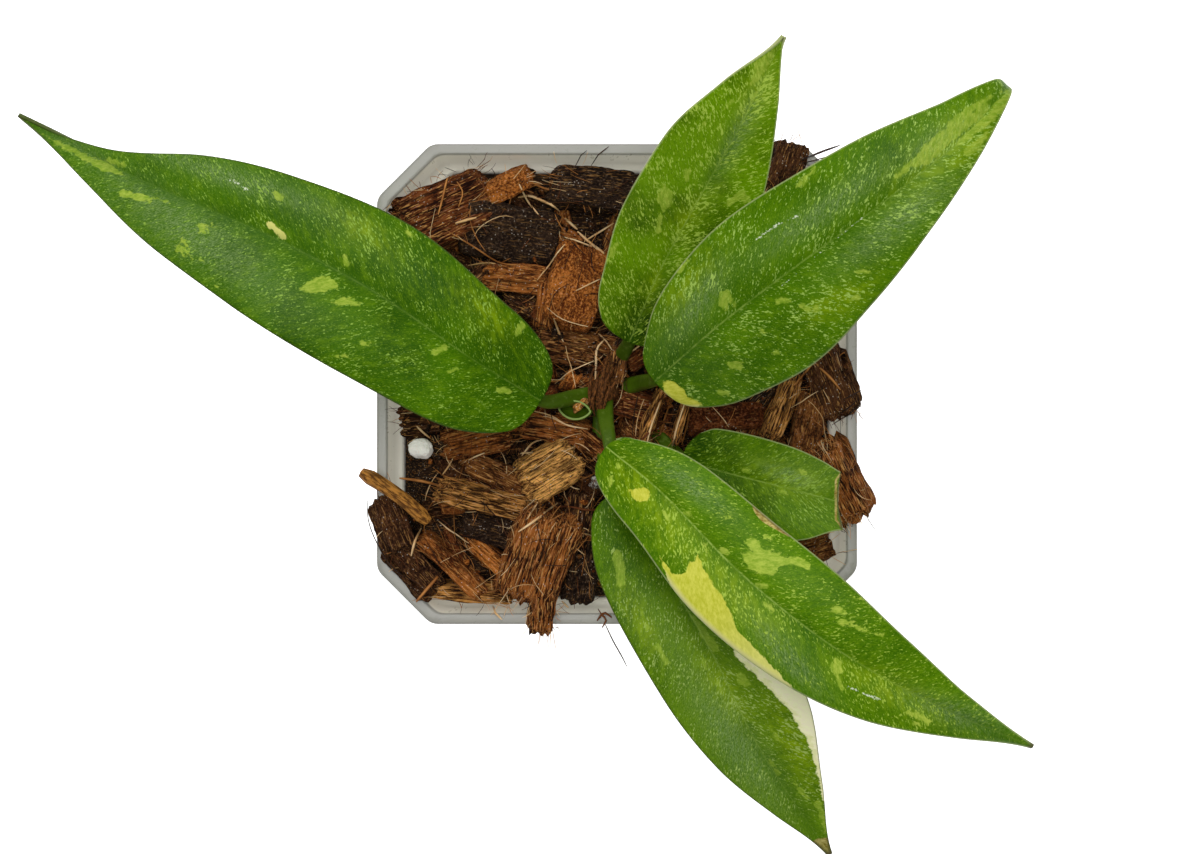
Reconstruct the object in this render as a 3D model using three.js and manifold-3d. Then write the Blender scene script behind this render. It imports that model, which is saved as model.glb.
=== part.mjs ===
// A ring of fire philodendron in a square clear nursery pot, in millimetres, +Z up.
// The origin is the middle of the pot's underside. +X and +Y run along the pot's sides.
// Every piece is drawn with its heights measured from the rim, and the whole is then lifted.
import * as THREE from 'three';
import { mergeVertices } from 'three/addons/utils/BufferGeometryUtils.js';
import Module from 'manifold-3d';

// Pot
const RIM_SIDE = 71;
const RIM_CHAMFER = 8;
const POT_HEIGHT = 65;
const COLLAR_HEIGHT = 9;
const COLLAR_FLARE = 1;
const BODY_SIDE = 67;
const BASE_SIDE = 50;
const BASE_CHAMFER = 6;
const WALL = 1.2;
const LEDGE = 1.6;
const THROAT_STEP = 1.4;
const INNER_CHAMFER = 7.4;
const INNER_DRAFT = 0.6;
const FLOOR = 1.6;
const DRAIN_RADIUS = 2.6;
const DRAIN_REACH = 16;
const DRAIN_ANGLES = [45, 135, 225, 315];
const DRAIN_SIDES = 16;

// Gap between neighbouring pieces that touch on the real thing
const CLEAR = 0.3;

// Mix
const FILL_TOP = -5;
const HEADROOM = 40;
const CHIP_JITTER = 0.07;
const FILLER_GRID = 8;
const FILLER_PITCH = 7.4;
const FILLER_SHIFT = 2.5;
const FILLER_TOP = -3.4;
const FILLER_LENGTH = [6, 10];
const FILLER_WIDTH = [3, 5.5];
const FILLER_DEPTH = 5;
const FILLER_TILT = 16;
const MIX_SEED = 7;

// Leaves
const BLADE_THICKNESS = 0.7;
const BLADE_ROWS = 16;
const BLADE_COLUMNS = 8;
const BASE_ROUNDING = 0.12;
const BASE_FRACTION = 0.5;
const BASE_BULGE = 1.3;
const MARGIN_LAG = 1.2;
const PETIOLE_SIDES = 8;
const PETIOLE_STEPS = 10;
const PETIOLE_RADIUS = 1.35;
const PETIOLE_TAPER = 0.5;
const PETIOLE_OVERLAP = 0.25;
const MIDRIB_SIDES = 6;
const MIDRIB_STEPS = 12;
const MIDRIB_RADIUS = 0.85;
const MIDRIB_TAPER = 0.5;
const MIDRIB_SPAN = [0.02, 0.9];
const MIDRIB_DROP = 0.35;

// Stem
const STEM_AXIS = [[-2, -1.2, -26], [-2, -1.2, -13], [-1.8, -1.2, -4], [-2, -0.8, 3]];
const STEM_SIDES = 10;
const STEM_RADIUS = 1.7;
const STEM_SWELL = 1.5;
const ROOT_SIDES = 5;
const ROOT_RADIUS = 1.1;
const ROOT_TAPER = 0.5;
const SHEATH_SIDES = 6;
const SHEATH_RADIUS = 0.5;
const SHEATH_SWELL = 0.9;

const wasm = await Module();
wasm.setup();

const radians = THREE.MathUtils.degToRad;

// A closed geometry becomes a solid that can be joined and cut
function toSolid(geometry) {
  geometry.deleteAttribute('normal');
  geometry.deleteAttribute('uv');
  const merged = mergeVertices(geometry, 1e-4);
  return new wasm.Manifold(new wasm.Mesh({
    numProp: 3,
    vertProperties: Float32Array.from(merged.attributes.position.array),
    triVerts: Uint32Array.from(merged.index.array),
  }));
}

function toGeometry(solid) {
  const mesh = solid.getMesh();
  const geometry = new THREE.BufferGeometry();
  geometry.setAttribute('position', new THREE.BufferAttribute(mesh.vertProperties, 3));
  geometry.setIndex(new THREE.BufferAttribute(mesh.triVerts, 1));
  geometry.computeVertexNormals();
  return geometry;
}

function indexedGeometry(numbers, index) {
  const geometry = new THREE.BufferGeometry();
  geometry.setAttribute('position', new THREE.Float32BufferAttribute(numbers, 3));
  geometry.setIndex(index);
  return geometry;
}

function join(solids) {
  return solids.reduce((whole, solid) => whole.add(solid));
}

// Cutting can leave crumbs, and only the main body is kept
function largestBody(solid) {
  const bodies = solid.decompose();
  return bodies.reduce((best, body) => (body.volume() > best.volume() ? body : best));
}

// A small seeded generator, so that every run gives the same mix
function seeded(seed) {
  let state = seed;
  return (low, high) => {
    state = (state * 1664525 + 1013904223) % 4294967296;
    return low + (high - low) * (state / 4294967296);
  };
}

// A square outline with its corners cut off at 45 degrees
function cutSquare(side, chamfer, z) {
  const a = side / 2;
  const b = a - chamfer;
  const corners = [[a, -b], [a, b], [b, a], [-b, a], [-a, b], [-a, -b], [-b, -a], [b, -a]];
  return corners.map(([x, y]) => [x, y, z]);
}

// A closed body through rings of equal point counts, with a flat cap on the first and the last
function loft(rings) {
  const count = rings[0].length;
  const index = [];
  for (let k = 0; k < rings.length - 1; k += 1) {
    for (let i = 0; i < count; i += 1) {
      const a = k * count + i;
      const b = k * count + ((i + 1) % count);
      index.push(a, b, b + count, a, b + count, a + count);
    }
  }
  const last = (rings.length - 1) * count;
  for (let i = 1; i < count - 1; i += 1) {
    index.push(0, i + 1, i, last, last + i, last + i + 1);
  }
  return indexedGeometry(rings.flat(2), index);
}

// A round-sided body bent along a curve, with a radius for each fraction of its length
function bentRod(curve, radiusAt, sides, steps) {
  const geometry = new THREE.CylinderGeometry(1, 1, 1, sides, steps);
  const frames = curve.computeFrenetFrames(steps);
  const place = geometry.attributes.position;
  for (let i = 0; i < place.count; i += 1) {
    const u = place.getY(i) + 0.5;
    const k = Math.round(u * steps);
    const radius = radiusAt(u);
    const point = curve.getPointAt(u)
      .addScaledVector(frames.normals[k], place.getX(i) * radius)
      .addScaledVector(frames.binormals[k], -place.getZ(i) * radius);
    place.setXYZ(i, point.x, point.y, point.z);
  }
  return geometry;
}

function curveThrough(points) {
  const vectors = points.map((p) => new THREE.Vector3(...p));
  return new THREE.CatmullRomCurve3(vectors, false, 'centripetal');
}

// Rings of the pot's inside, from the floor up to the rim, drawn in by a gap
function insideRings(gap, top) {
  const mouth = RIM_SIDE - 2 * LEDGE - 2 * gap;
  const throat = mouth - 2 * THROAT_STEP;
  const step = WALL - COLLAR_HEIGHT;
  return [
    cutSquare(BASE_SIDE - 2 * WALL - 2 * gap, BASE_CHAMFER, FLOOR - POT_HEIGHT + gap),
    cutSquare(throat - INNER_DRAFT, INNER_CHAMFER, step + gap),
    cutSquare(mouth - INNER_DRAFT, INNER_CHAMFER, step + WALL / 2 + 2 * gap),
    cutSquare(mouth, INNER_CHAMFER, top),
  ];
}

// Pot: a collar at the rim, a small step in, and straight tapering walls down to a flat floor
function potGeometry() {
  const outside = [
    cutSquare(BASE_SIDE, BASE_CHAMFER, -POT_HEIGHT),
    cutSquare(BODY_SIDE, RIM_CHAMFER, -COLLAR_HEIGHT),
    cutSquare(RIM_SIDE - COLLAR_FLARE, RIM_CHAMFER, -COLLAR_HEIGHT),
    cutSquare(RIM_SIDE, RIM_CHAMFER, 0),
  ];
  const shell = toSolid(loft([...outside, ...insideRings(0, 0).reverse()]));
  const drains = DRAIN_ANGLES.map(radians).map((angle) => {
    const drain = new THREE.CylinderGeometry(DRAIN_RADIUS, DRAIN_RADIUS, 4 * FLOOR, DRAIN_SIDES);
    drain.rotateX(Math.PI / 2);
    drain.translate(DRAIN_REACH * Math.cos(angle), DRAIN_REACH * Math.sin(angle), -POT_HEIGHT);
    return toSolid(drain);
  });
  return toGeometry(shell.subtract(join(drains)));
}

// The outline of a husk chip, in fractions of its length and width
const CHIP_OUTLINE = [
  [-0.5, -0.3], [-0.34, -0.5], [0.32, -0.5], [0.5, -0.26], [0.5, 0.3], [0.24, 0.5], [-0.4, 0.48],
];

// One husk chip: an irregular block, sunk into the fill, whose upper face lies at the height top
function chipSolid(random, { x, y, top, length, width, depth, yaw, pitch, roll }) {
  const corners = CHIP_OUTLINE.map(([u, v]) => new THREE.Vector2(
    (u + random(-CHIP_JITTER, CHIP_JITTER)) * length,
    (v + random(-CHIP_JITTER, CHIP_JITTER)) * width,
  ));
  const block = new THREE.ExtrudeGeometry(new THREE.Shape(corners), { depth, bevelEnabled: false });
  block.translate(0, 0, -depth);
  block.rotateX(radians(roll));
  block.rotateY(radians(pitch));
  block.rotateZ(radians(yaw));
  block.translate(x, y, top);
  return toSolid(block);
}

// The chips that show on top, placed one by one
const CHIPS = [
  { x: -25.3, y: 26.0, top: -0.5, length: 14, width: 9, depth: 8, yaw: 25, pitch: 6, roll: -12 },
  { x: -16.2, y: 29.1, top: 0.2, length: 6.5, width: 3.4, depth: 7, yaw: 25, pitch: -10, roll: 10 },
  { x: -3.4, y: 29.3, top: -0.4, length: 12, width: 6, depth: 8, yaw: -5, pitch: 4, roll: -8 },
  { x: -15.8, y: 22.4, top: -1.2, length: 14.5, width: 8, depth: 8, yaw: -8, pitch: 8, roll: 5 },
  { x: -15.0, y: 15.6, top: -2.0, length: 9.5, width: 4.4, depth: 6, yaw: -6, pitch: -6, roll: 8 },
  { x: -10.8, y: 12.1, top: -1.4, length: 7.6, width: 2.7, depth: 6, yaw: 86, pitch: 4, roll: -6 },
  { x: -5.9, y: 14.6, top: 1.2, length: 12, width: 7.8, depth: 9, yaw: 75, pitch: 6, roll: 6 },
  { x: -7.4, y: 5.6, top: -2.4, length: 9, width: 5, depth: 6, yaw: -10, pitch: 4, roll: 8 },
  { x: -6.6, y: 0.7, top: -0.6, length: 2.8, width: 2.2, depth: 6, yaw: 60, pitch: 12, roll: 0 },
  { x: 3.4, y: -3.6, top: -0.4, length: 7.2, width: 4.0, depth: 7, yaw: -16, pitch: 6, roll: 10 },
  { x: 3.0, y: -7.6, top: -1.6, length: 5.2, width: 3.2, depth: 6, yaw: -40, pitch: 0, roll: -8 },
  { x: 3.4, y: 4.4, top: -1.6, length: 5.4, width: 4.4, depth: 6, yaw: 30, pitch: -8, roll: 8 },
  { x: 16.4, y: -4.8, top: -1.2, length: 11.4, width: 4.0, depth: 6, yaw: 5, pitch: 3, roll: -6 },
  { x: 24.8, y: -3.1, top: 0.2, length: 10.6, width: 2.8, depth: 7, yaw: 68, pitch: 5, roll: 8 },
  { x: 28.0, y: -6.6, top: 0.4, length: 9.6, width: 4.2, depth: 8, yaw: 80, pitch: -5, roll: -6 },
  { x: 31.0, y: 0.2, top: 1.4, length: 10.4, width: 5.6, depth: 9, yaw: -70, pitch: 5, roll: 10 },
  { x: 33.2, y: -15.1, top: 3.4, length: 11.4, width: 6.0, depth: 10, yaw: -66, pitch: 6, roll: 12 },
  { x: 29.0, y: -24.0, top: -0.8, length: 6, width: 5, depth: 8, yaw: 20, pitch: 8, roll: -8 },
  { x: 24.9, y: 31.6, top: 3.4, length: 8.4, width: 5, depth: 10, yaw: 70, pitch: 10, roll: 6 },
  { x: -28.8, y: -5.4, top: -2.2, length: 6.5, width: 4.7, depth: 6, yaw: 5, pitch: 0, roll: 10 },
  { x: -20.7, y: -8.5, top: -0.6, length: 9.6, width: 4.6, depth: 7, yaw: 12, pitch: 6, roll: 10 },
  { x: -9.4, y: -7.0, top: 0.6, length: 9.4, width: 3.4, depth: 7, yaw: -8, pitch: -4, roll: 8 },
  { x: -3.8, y: -9.2, top: 0.2, length: 6.6, width: 3.0, depth: 7, yaw: -38, pitch: 6, roll: 8 },
  { x: -9.7, y: -13.0, top: 2.6, length: 9.6, width: 6.6, depth: 9, yaw: 22, pitch: 4, roll: 6 },
  { x: -17.7, y: -13.2, top: -0.8, length: 9.6, width: 3.6, depth: 7, yaw: -25, pitch: -3, roll: -8 },
  { x: -19.4, y: -17.4, top: 0.6, length: 13.6, width: 3.8, depth: 8, yaw: -13, pitch: 4, roll: 6 },
  { x: -18.8, y: -21.4, top: -1.6, length: 8.4, width: 4.4, depth: 7, yaw: -16, pitch: 4, roll: -4 },
  { x: -24.2, y: -17.8, top: -2.2, length: 3.8, width: 3.0, depth: 6, yaw: 0, pitch: 6, roll: 0 },
  { x: -32.6, y: -20.6, top: 1.0, length: 8.6, width: 4.2, depth: 9, yaw: -68, pitch: -4, roll: -10 },
  { x: -29.4, y: -27.2, top: 0.2, length: 8.4, width: 4.0, depth: 9, yaw: -48, pitch: 4, roll: -8 },
  { x: -24.4, y: -27.3, top: 0.2, length: 12.6, width: 2.4, depth: 8, yaw: -43, pitch: 5, roll: 6 },
  { x: -19.0, y: -25.6, top: -1.4, length: 9, width: 2.8, depth: 7, yaw: -40, pitch: -6, roll: 6 },
  { x: -11.4, y: -26.0, top: 3.0, length: 13.4, width: 9.4, depth: 11, yaw: 72, pitch: -5, roll: 8 },
  { x: -10.8, y: -33.6, top: 2.4, length: 6.0, width: 3.4, depth: 8, yaw: 86, pitch: -4, roll: 4 },
  { x: -5.2, y: -27.8, top: -2.2, length: 9, width: 5, depth: 6, yaw: 80, pitch: 4, roll: 0 },
  { x: -5.6, y: -19.4, top: -2.2, length: 6.8, width: 4.2, depth: 6, yaw: 80, pitch: -8, roll: 6 },
  { x: -21.6, y: -31.4, top: -1.0, length: 11.4, width: 2.2, depth: 8, yaw: -5, pitch: 2, roll: 10 },
];

// Smaller chips on a jittered grid fill the spaces between them
function fillerSolids(random) {
  const chips = [];
  const middle = (FILLER_GRID - 1) / 2;
  for (let i = 0; i < FILLER_GRID; i += 1) {
    for (let j = 0; j < FILLER_GRID; j += 1) {
      chips.push(chipSolid(random, {
        x: (i - middle) * FILLER_PITCH + random(-FILLER_SHIFT, FILLER_SHIFT),
        y: (j - middle) * FILLER_PITCH + random(-FILLER_SHIFT, FILLER_SHIFT),
        top: FILLER_TOP + random(-1, 1),
        length: random(...FILLER_LENGTH),
        width: random(...FILLER_WIDTH),
        depth: FILLER_DEPTH,
        yaw: random(0, 180),
        pitch: random(-FILLER_TILT, FILLER_TILT),
        roll: random(-FILLER_TILT, FILLER_TILT),
      }));
    }
  }
  return chips;
}

// The loose pieces on top of the mix
const GRAIN = { x: -29.0, y: -9.6, z: -1.6, size: [3.8, 2.9, 2.6], yaw: -12 };
const STICK = { from: [-37.6, -12.9, 3.2], to: [-27.6, -20.4, 1.9], radius: 1.05 };

function grainGeometry(extra) {
  const grain = new THREE.IcosahedronGeometry(0.5, 1);
  grain.scale(...GRAIN.size.map((v) => v + 2 * extra));
  grain.rotateZ(radians(GRAIN.yaw));
  grain.translate(GRAIN.x, GRAIN.y, GRAIN.z);
  return grain;
}

function stickGeometry(extra) {
  const middle = STICK.from.map((v, k) => (v + STICK.to[k]) / 2);
  const rounding = (u) => Math.sqrt(Math.min(1, 0.35 + 5 * Math.min(u, 1 - u)));
  const curve = curveThrough([STICK.from, middle, STICK.to]);
  return bentRod(curve, (u) => STICK.radius * rounding(u) + extra, 8, 8);
}

// Stem: a rooted foot, and the dried sheath of an old leaf lying over its top
const ROOTS = [
  [[-2, -1.2, -19], [4, 4, -27], [9, 11, -40], [10, 13, -56]],
  [[-2, -1.2, -22], [-9, 3, -29], [-15, 9, -41], [-16, 12, -54]],
  [[-2, -1.2, -20], [-7, -9, -28], [-13, -13, -40], [-14, -14, -57]],
  [[-2, -1.2, -23], [5, -7, -30], [11, -12, -42], [13, -14, -58]],
  [[-2, -1.2, -24], [-1, -1, -34], [0, 1, -46], [-1, 2, -59]],
];
const DRIED_SHEATH = [[-4.4, -5.2, 0.8], [-3.6, -2.4, 4.0], [-1.8, 1.4, 4.6], [-0.9, 4.6, 1.8]];

function stemSolid(extra) {
  const bulge = (u) => Math.sin(Math.PI * (0.12 + 0.78 * u));
  const trunk = (u) => STEM_RADIUS + STEM_SWELL * bulge(u) + extra;
  const dry = (u) => SHEATH_RADIUS + SHEATH_SWELL * Math.sin(Math.PI * u) + extra;
  const root = (u) => ROOT_RADIUS - ROOT_TAPER * u + extra;
  const rods = [
    bentRod(curveThrough(STEM_AXIS), trunk, STEM_SIDES, 7),
    bentRod(curveThrough(DRIED_SHEATH), dry, SHEATH_SIDES, 7),
    ...ROOTS.map((route) => bentRod(curveThrough(route), root, ROOT_SIDES, 5)),
  ];
  return join(rods.map(toSolid));
}

// Leaves. A petiole leads from the stem to the blade's base, and the midrib from there to the tip,
// each through points [x, y, height over the rim]. left and right are the half-widths, seen from
// above, at even steps from base to tip. fold raises the halves from the midrib, arch bends them
// over again, bank raises the left half, and wave and waves ripple the margin.
const LEAVES = [
  {
    name: 'leaf_west',
    color: 0x3f7a17,
    petiole: [[-2.2, -1.4, -0.6], [-6.6, -2.2, 3.4], [-10.2, -2.6, 8.2]],
    midrib: [
      [-12.0, -2.0, 10.5], [-20.8, 3.4, 16.5], [-33.2, 12.0, 20],
      [-48.4, 20.2, 21], [-65.6, 27.7, 18.5], [-85.4, 38.0, 12],
    ],
    left: [8.5, 10.8, 12.1, 11.3, 8.3, 3.8, 0.2],
    right: [8, 9.3, 10.5, 9.1, 6.6, 1.5, 0.2],
    fold: 0.34,
    arch: 0.3,
    bank: 0.04,
    wave: 0.5,
    waves: 2.3,
  },
  {
    name: 'leaf_north',
    color: 0x4f8a22,
    petiole: [[-2.2, -0.8, -3.0], [0.0, 3.4, 1.2], [1.4, 5.4, 5.0]],
    midrib: [[2.1, 6.9, 8], [5.9, 15.7, 16.5], [10.9, 24.7, 26], [16.4, 34.3, 36], [21.3, 43.6, 43]],
    left: [6.5, 7.3, 8.6, 8.5, 7.6, 4.5, 0.2],
    right: [5, 7.5, 9.0, 8.7, 6.5, 3.4, 0.2],
    fold: 0.3,
    arch: 0.22,
    bank: 0.22,
    wave: 0.3,
    waves: 2.1,
  },
  {
    name: 'leaf_northeast',
    color: 0x447f1a,
    petiole: [[-1.4, -1.2, -0.6], [2.4, 0.1, 4.2], [4.4, 0.3, 8.4]],
    midrib: [
      [6.0, 0.8, 13], [14.0, 7.8, 24.5], [24.3, 15.6, 33.5], [34.2, 22.8, 39.5],
      [44.5, 31.1, 41.5], [50.6, 37.8, 38.5], [51.8, 39.2, 33],
    ],
    left: [5.4, 8.7, 10.6, 9.9, 8.2, 4.6, 0.2],
    right: [8, 10.6, 12, 9.9, 6.3, 2.4, 0.2],
    fold: 0.26,
    arch: 0.3,
    bank: 0.1,
    wave: 0.4,
    waves: 2.2,
  },
  {
    name: 'leaf_southeast',
    color: 0x478419,
    petiole: [[-1.9, -1.7, 0.2], [-1.7, -5.2, 4.4], [-1.3, -7.6, 8.4]],
    midrib: [
      [-0.9, -9.2, 12], [6.0, -15.4, 18], [16.9, -26.5, 23],
      [29.2, -36.3, 24], [43.4, -44.6, 21], [58.8, -51.6, 14],
    ],
    left: [5, 6.8, 8.2, 8.3, 6.1, 2.9, 0.2],
    right: [6, 7.0, 8.4, 8.2, 6.5, 3.1, 0.2],
    fold: 0.3,
    arch: 0.34,
    bank: 0.06,
    wave: 0.5,
    waves: 1.8,
  },
  {
    name: 'leaf_south',
    color: 0x3d7420,
    petiole: [[-2.0, -1.8, -4.0], [-2.4, -8.2, -1.8], [-1.0, -13.6, 1.6]],
    midrib: [[0.1, -17.0, 4.5], [6.1, -26.3, 8], [13.3, -38.3, 9.5], [20.6, -52.9, 7.5], [31.2, -69.0, 2.5]],
    left: [6, 8.5, 9.5, 9.8, 9.0, 5.0, 0.2],
    right: [6.5, 8.8, 9.5, 9.0, 6.7, 3.4, 0.2],
    fold: 0.26,
    arch: 0.2,
    bank: 0.02,
    wave: 0.4,
    waves: 1.7,
  },
  {
    name: 'leaf_cut',
    color: 0x3f7d20,
    petiole: [[-0.8, -1.6, -2.2], [3.6, -5.2, -2.2], [7.6, -9.4, 0.6]],
    midrib: [[10.6, -11.5, 3.0], [16.2, -13.1, 5.2], [23.0, -14.8, 7.8], [31.3, -17.0, 9.5]],
    left: [5.4, 6.0, 6.2, 6.1, 5.8, 5.1, 4.2],
    right: [4.5, 6.8, 8, 8.2, 7.8, 6.4, 3.8],
    fold: 0.28,
    arch: 0.2,
    bank: -0.04,
    wave: 0.2,
    waves: 1.2,
    cutDepth: 1.6,
  },
];

// A smooth value between evenly spaced stations
function between(stations, t) {
  const last = stations.length - 1;
  const place = Math.min(t, 0.99999) * last;
  const k = Math.floor(place);
  const f = place - k;
  const at = (i) => stations[Math.max(0, Math.min(last, i))];
  const [a, b, c, d] = [at(k - 1), at(k), at(k + 1), at(k + 2)];
  return b + 0.5 * f * (c - a + f * (2 * a - 5 * b + 4 * c - d + f * (3 * (b - c) + d - a)));
}

// The middle surface of a blade: t runs from base to tip, s from the left margin to the right one
function bladePoint(leaf, curve, t, s) {
  const ahead = curve.getTangentAt(t);
  const flat = Math.hypot(ahead.x, ahead.y);
  const u = Math.abs(s);
  const near = 1 - Math.min(1, t / BASE_ROUNDING);
  const rounding = BASE_FRACTION + (1 - BASE_FRACTION) * Math.sqrt(1 - near * near);
  const half = between(s < 0 ? leaf.left : leaf.right, t) * rounding;
  const lag = s < 0 ? MARGIN_LAG : 0;
  const ripple = leaf.wave * u * u * Math.sin(2 * Math.PI * leaf.waves * t + lag);
  const rise = half * (leaf.fold * u - leaf.arch * u * u) - leaf.bank * s * half + ripple;
  const bulge = BASE_BULGE * near * near * Math.sqrt(1 - u * u);
  const bite = (leaf.cutDepth ?? 0) * t ** 8 * (1 - u * u);
  return curve.getPointAt(t)
    .add(new THREE.Vector3(ahead.y, -ahead.x, 0).multiplyScalar((s * half) / flat))
    .addScaledVector(ahead, -bulge - bite)
    .add(new THREE.Vector3(0, 0, rise));
}

// The upward direction of a blade at one of its points
function bladeNormal(leaf, curve, t, s) {
  const [dt, ds] = [0.001, 0.02];
  const inner = 0.999 * s;
  const along = bladePoint(leaf, curve, Math.min(1, t + dt), inner)
    .sub(bladePoint(leaf, curve, Math.max(0, t - dt), inner));
  const across = bladePoint(leaf, curve, t, Math.min(1, s + ds))
    .sub(bladePoint(leaf, curve, t, Math.max(-1, s - ds)));
  return across.cross(along).normalize();
}

// A blade of even thickness, split into triangles alike on both faces
function bladeGeometry(leaf, curve) {
  const points = [];
  for (const offset of [BLADE_THICKNESS / 2, -BLADE_THICKNESS / 2]) {
    for (let i = 0; i <= BLADE_ROWS; i += 1) {
      const even = i / BLADE_ROWS;
      const t = 0.55 * even + 0.225 * (1 - Math.cos(Math.PI * even));
      for (let j = 0; j <= BLADE_COLUMNS; j += 1) {
        const s = (2 * j) / BLADE_COLUMNS - 1;
        const up = bladeNormal(leaf, curve, t, s);
        points.push(bladePoint(leaf, curve, t, s).addScaledVector(up, offset));
      }
    }
  }
  const row = BLADE_COLUMNS + 1;
  const under = row * (BLADE_ROWS + 1);
  const index = [];
  const quad = (a, b, c, d) => index.push(a, b, c, a, c, d);
  for (let i = 0; i < BLADE_ROWS; i += 1) {
    for (let j = 0; j < BLADE_COLUMNS; j += 1) {
      const a = i * row + j;
      const b = a + under;
      quad(a, a + 1, a + row + 1, a + row);
      index.push(b, b + row + 1, b + 1, b, b + row, b + row + 1);
    }
    const left = i * row;
    const right = left + BLADE_COLUMNS;
    quad(left + row, left + row + under, left + under, left);
    quad(right, right + under, right + row + under, right + row);
  }
  for (let j = 0; j < BLADE_COLUMNS; j += 1) {
    const tip = BLADE_ROWS * row + j;
    quad(j, j + under, j + 1 + under, j + 1);
    quad(tip + 1, tip + 1 + under, tip + under, tip);
  }
  return indexedGeometry(points.flatMap((p) => [p.x, p.y, p.z]), index);
}

function petioleGeometry(leaf, extra) {
  const [base, next] = leaf.midrib;
  const joint = [base[0], base[1], base[2] - MIDRIB_DROP];
  const end = joint.map((v, k) => v + PETIOLE_OVERLAP * (next[k] - base[k]));
  const radius = (u) => PETIOLE_RADIUS - PETIOLE_TAPER * u + extra;
  return bentRod(curveThrough([...leaf.petiole, joint, end]), radius, PETIOLE_SIDES, PETIOLE_STEPS);
}

// The raised midrib under the blade
function midribGeometry(curve) {
  const [start, end] = MIDRIB_SPAN;
  const points = [];
  for (let k = 0; k <= MIDRIB_STEPS; k += 1) {
    const point = curve.getPointAt(start + (end - start) * (k / MIDRIB_STEPS));
    points.push([point.x, point.y, point.z - MIDRIB_DROP]);
  }
  const radius = (u) => MIDRIB_RADIUS - MIDRIB_TAPER * u;
  return bentRod(curveThrough(points), radius, MIDRIB_SIDES, MIDRIB_STEPS);
}

// The open, boat-shaped sheath at the foot of the west leaf's petiole
const BOAT = { x: -6.6, y: -3.2, z: 2.0, size: [4.6, 2.9, 4.4], yaw: 174, pitch: 22, wall: 0.7 };

function boatShell(extra, lift) {
  const ball = new THREE.SphereGeometry(0.5, 12, 8);
  ball.scale(...BOAT.size.map((v) => v + 2 * extra));
  ball.translate(0, 0, lift);
  ball.rotateY(radians(BOAT.pitch));
  ball.rotateZ(radians(BOAT.yaw));
  ball.translate(BOAT.x, BOAT.y, BOAT.z);
  return toSolid(ball);
}

function leafSolid(leaf) {
  const curve = curveThrough(leaf.midrib);
  const parts = [bladeGeometry(leaf, curve), petioleGeometry(leaf, 0), midribGeometry(curve)].map(toSolid);
  if (leaf.name === 'leaf_west') {
    parts.push(boatShell(0, 0).subtract(boatShell(-BOAT.wall, 2 * BOAT.wall)));
  }
  return largestBody(join(parts).subtract(stemSolid(CLEAR)));
}

// The fill, its chips and fillers, cut clear of the pot, the plant and the loose pieces
function mixSolid() {
  const random = seeded(MIX_SEED);
  const above = new THREE.BoxGeometry(2 * RIM_SIDE, 2 * RIM_SIDE, HEADROOM);
  above.translate(0, 0, CLEAR + HEADROOM / 2);
  const room = join([toSolid(loft(insideRings(CLEAR, 2 * CLEAR))), toSolid(above)]);
  const fill = toSolid(loft(insideRings(CLEAR, FILL_TOP)));
  const chips = CHIPS.map((each) => chipSolid(random, each));
  const mix = join([fill, ...chips, ...fillerSolids(random)]).intersect(room);
  const holes = [
    stemSolid(CLEAR),
    boatShell(CLEAR, 0),
    ...LEAVES.map((leaf) => toSolid(petioleGeometry(leaf, CLEAR))),
    toSolid(grainGeometry(CLEAR)),
    toSolid(stickGeometry(CLEAR)),
  ];
  return largestBody(mix.subtract(join(holes)));
}

function named(name, geometry, color, roughness) {
  const mesh = new THREE.Mesh(geometry, new THREE.MeshStandardMaterial({ color, roughness, metalness: 0 }));
  mesh.name = name;
  return mesh;
}

const plant = new THREE.Group();
plant.add(named('stem', toGeometry(stemSolid(0)), 0x5a3a1c, 0.9));
for (const leaf of LEAVES) {
  plant.add(named(leaf.name, toGeometry(leafSolid(leaf)), leaf.color, 0.45));
}

const potted = new THREE.Group();
potted.add(
  named('pot', potGeometry(), 0xb4b4aa, 0.35),
  named('potting_mix', toGeometry(mixSolid()), 0x6b3c1a, 0.95),
  named('perlite_grain', grainGeometry(0), 0xf0ece4, 0.9),
  named('loose_stick', stickGeometry(0), 0x7a5c2c, 0.8),
  plant,
);
potted.position.z = POT_HEIGHT;

const part = new THREE.Group();
part.add(potted);

export default part;
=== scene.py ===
import math
import random
from collections import namedtuple

import bmesh
import bpy
import numpy as np
from mathutils import Matrix, Vector, noise
from mathutils.bvhtree import BVHTree


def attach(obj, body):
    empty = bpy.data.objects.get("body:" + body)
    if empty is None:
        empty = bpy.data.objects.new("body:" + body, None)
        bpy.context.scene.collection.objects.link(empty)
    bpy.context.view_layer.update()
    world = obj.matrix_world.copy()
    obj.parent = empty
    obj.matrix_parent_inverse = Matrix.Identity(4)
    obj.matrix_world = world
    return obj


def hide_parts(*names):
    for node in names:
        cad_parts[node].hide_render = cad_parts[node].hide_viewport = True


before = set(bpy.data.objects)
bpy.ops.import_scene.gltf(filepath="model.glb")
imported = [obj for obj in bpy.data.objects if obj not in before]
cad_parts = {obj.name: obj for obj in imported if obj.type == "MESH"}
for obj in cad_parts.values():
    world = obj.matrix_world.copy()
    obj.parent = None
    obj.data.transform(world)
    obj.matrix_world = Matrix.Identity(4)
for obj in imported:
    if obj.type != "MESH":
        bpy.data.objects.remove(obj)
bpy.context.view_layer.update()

# Everything is drawn in millimetres, with its heights measured from the rim, and then put in place
MM = 0.001
POT_HEIGHT = 65.0
PUT_IN_PLACE = Matrix.Scale(MM, 4) @ Matrix.Translation((0, 0, POT_HEIGHT))

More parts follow.
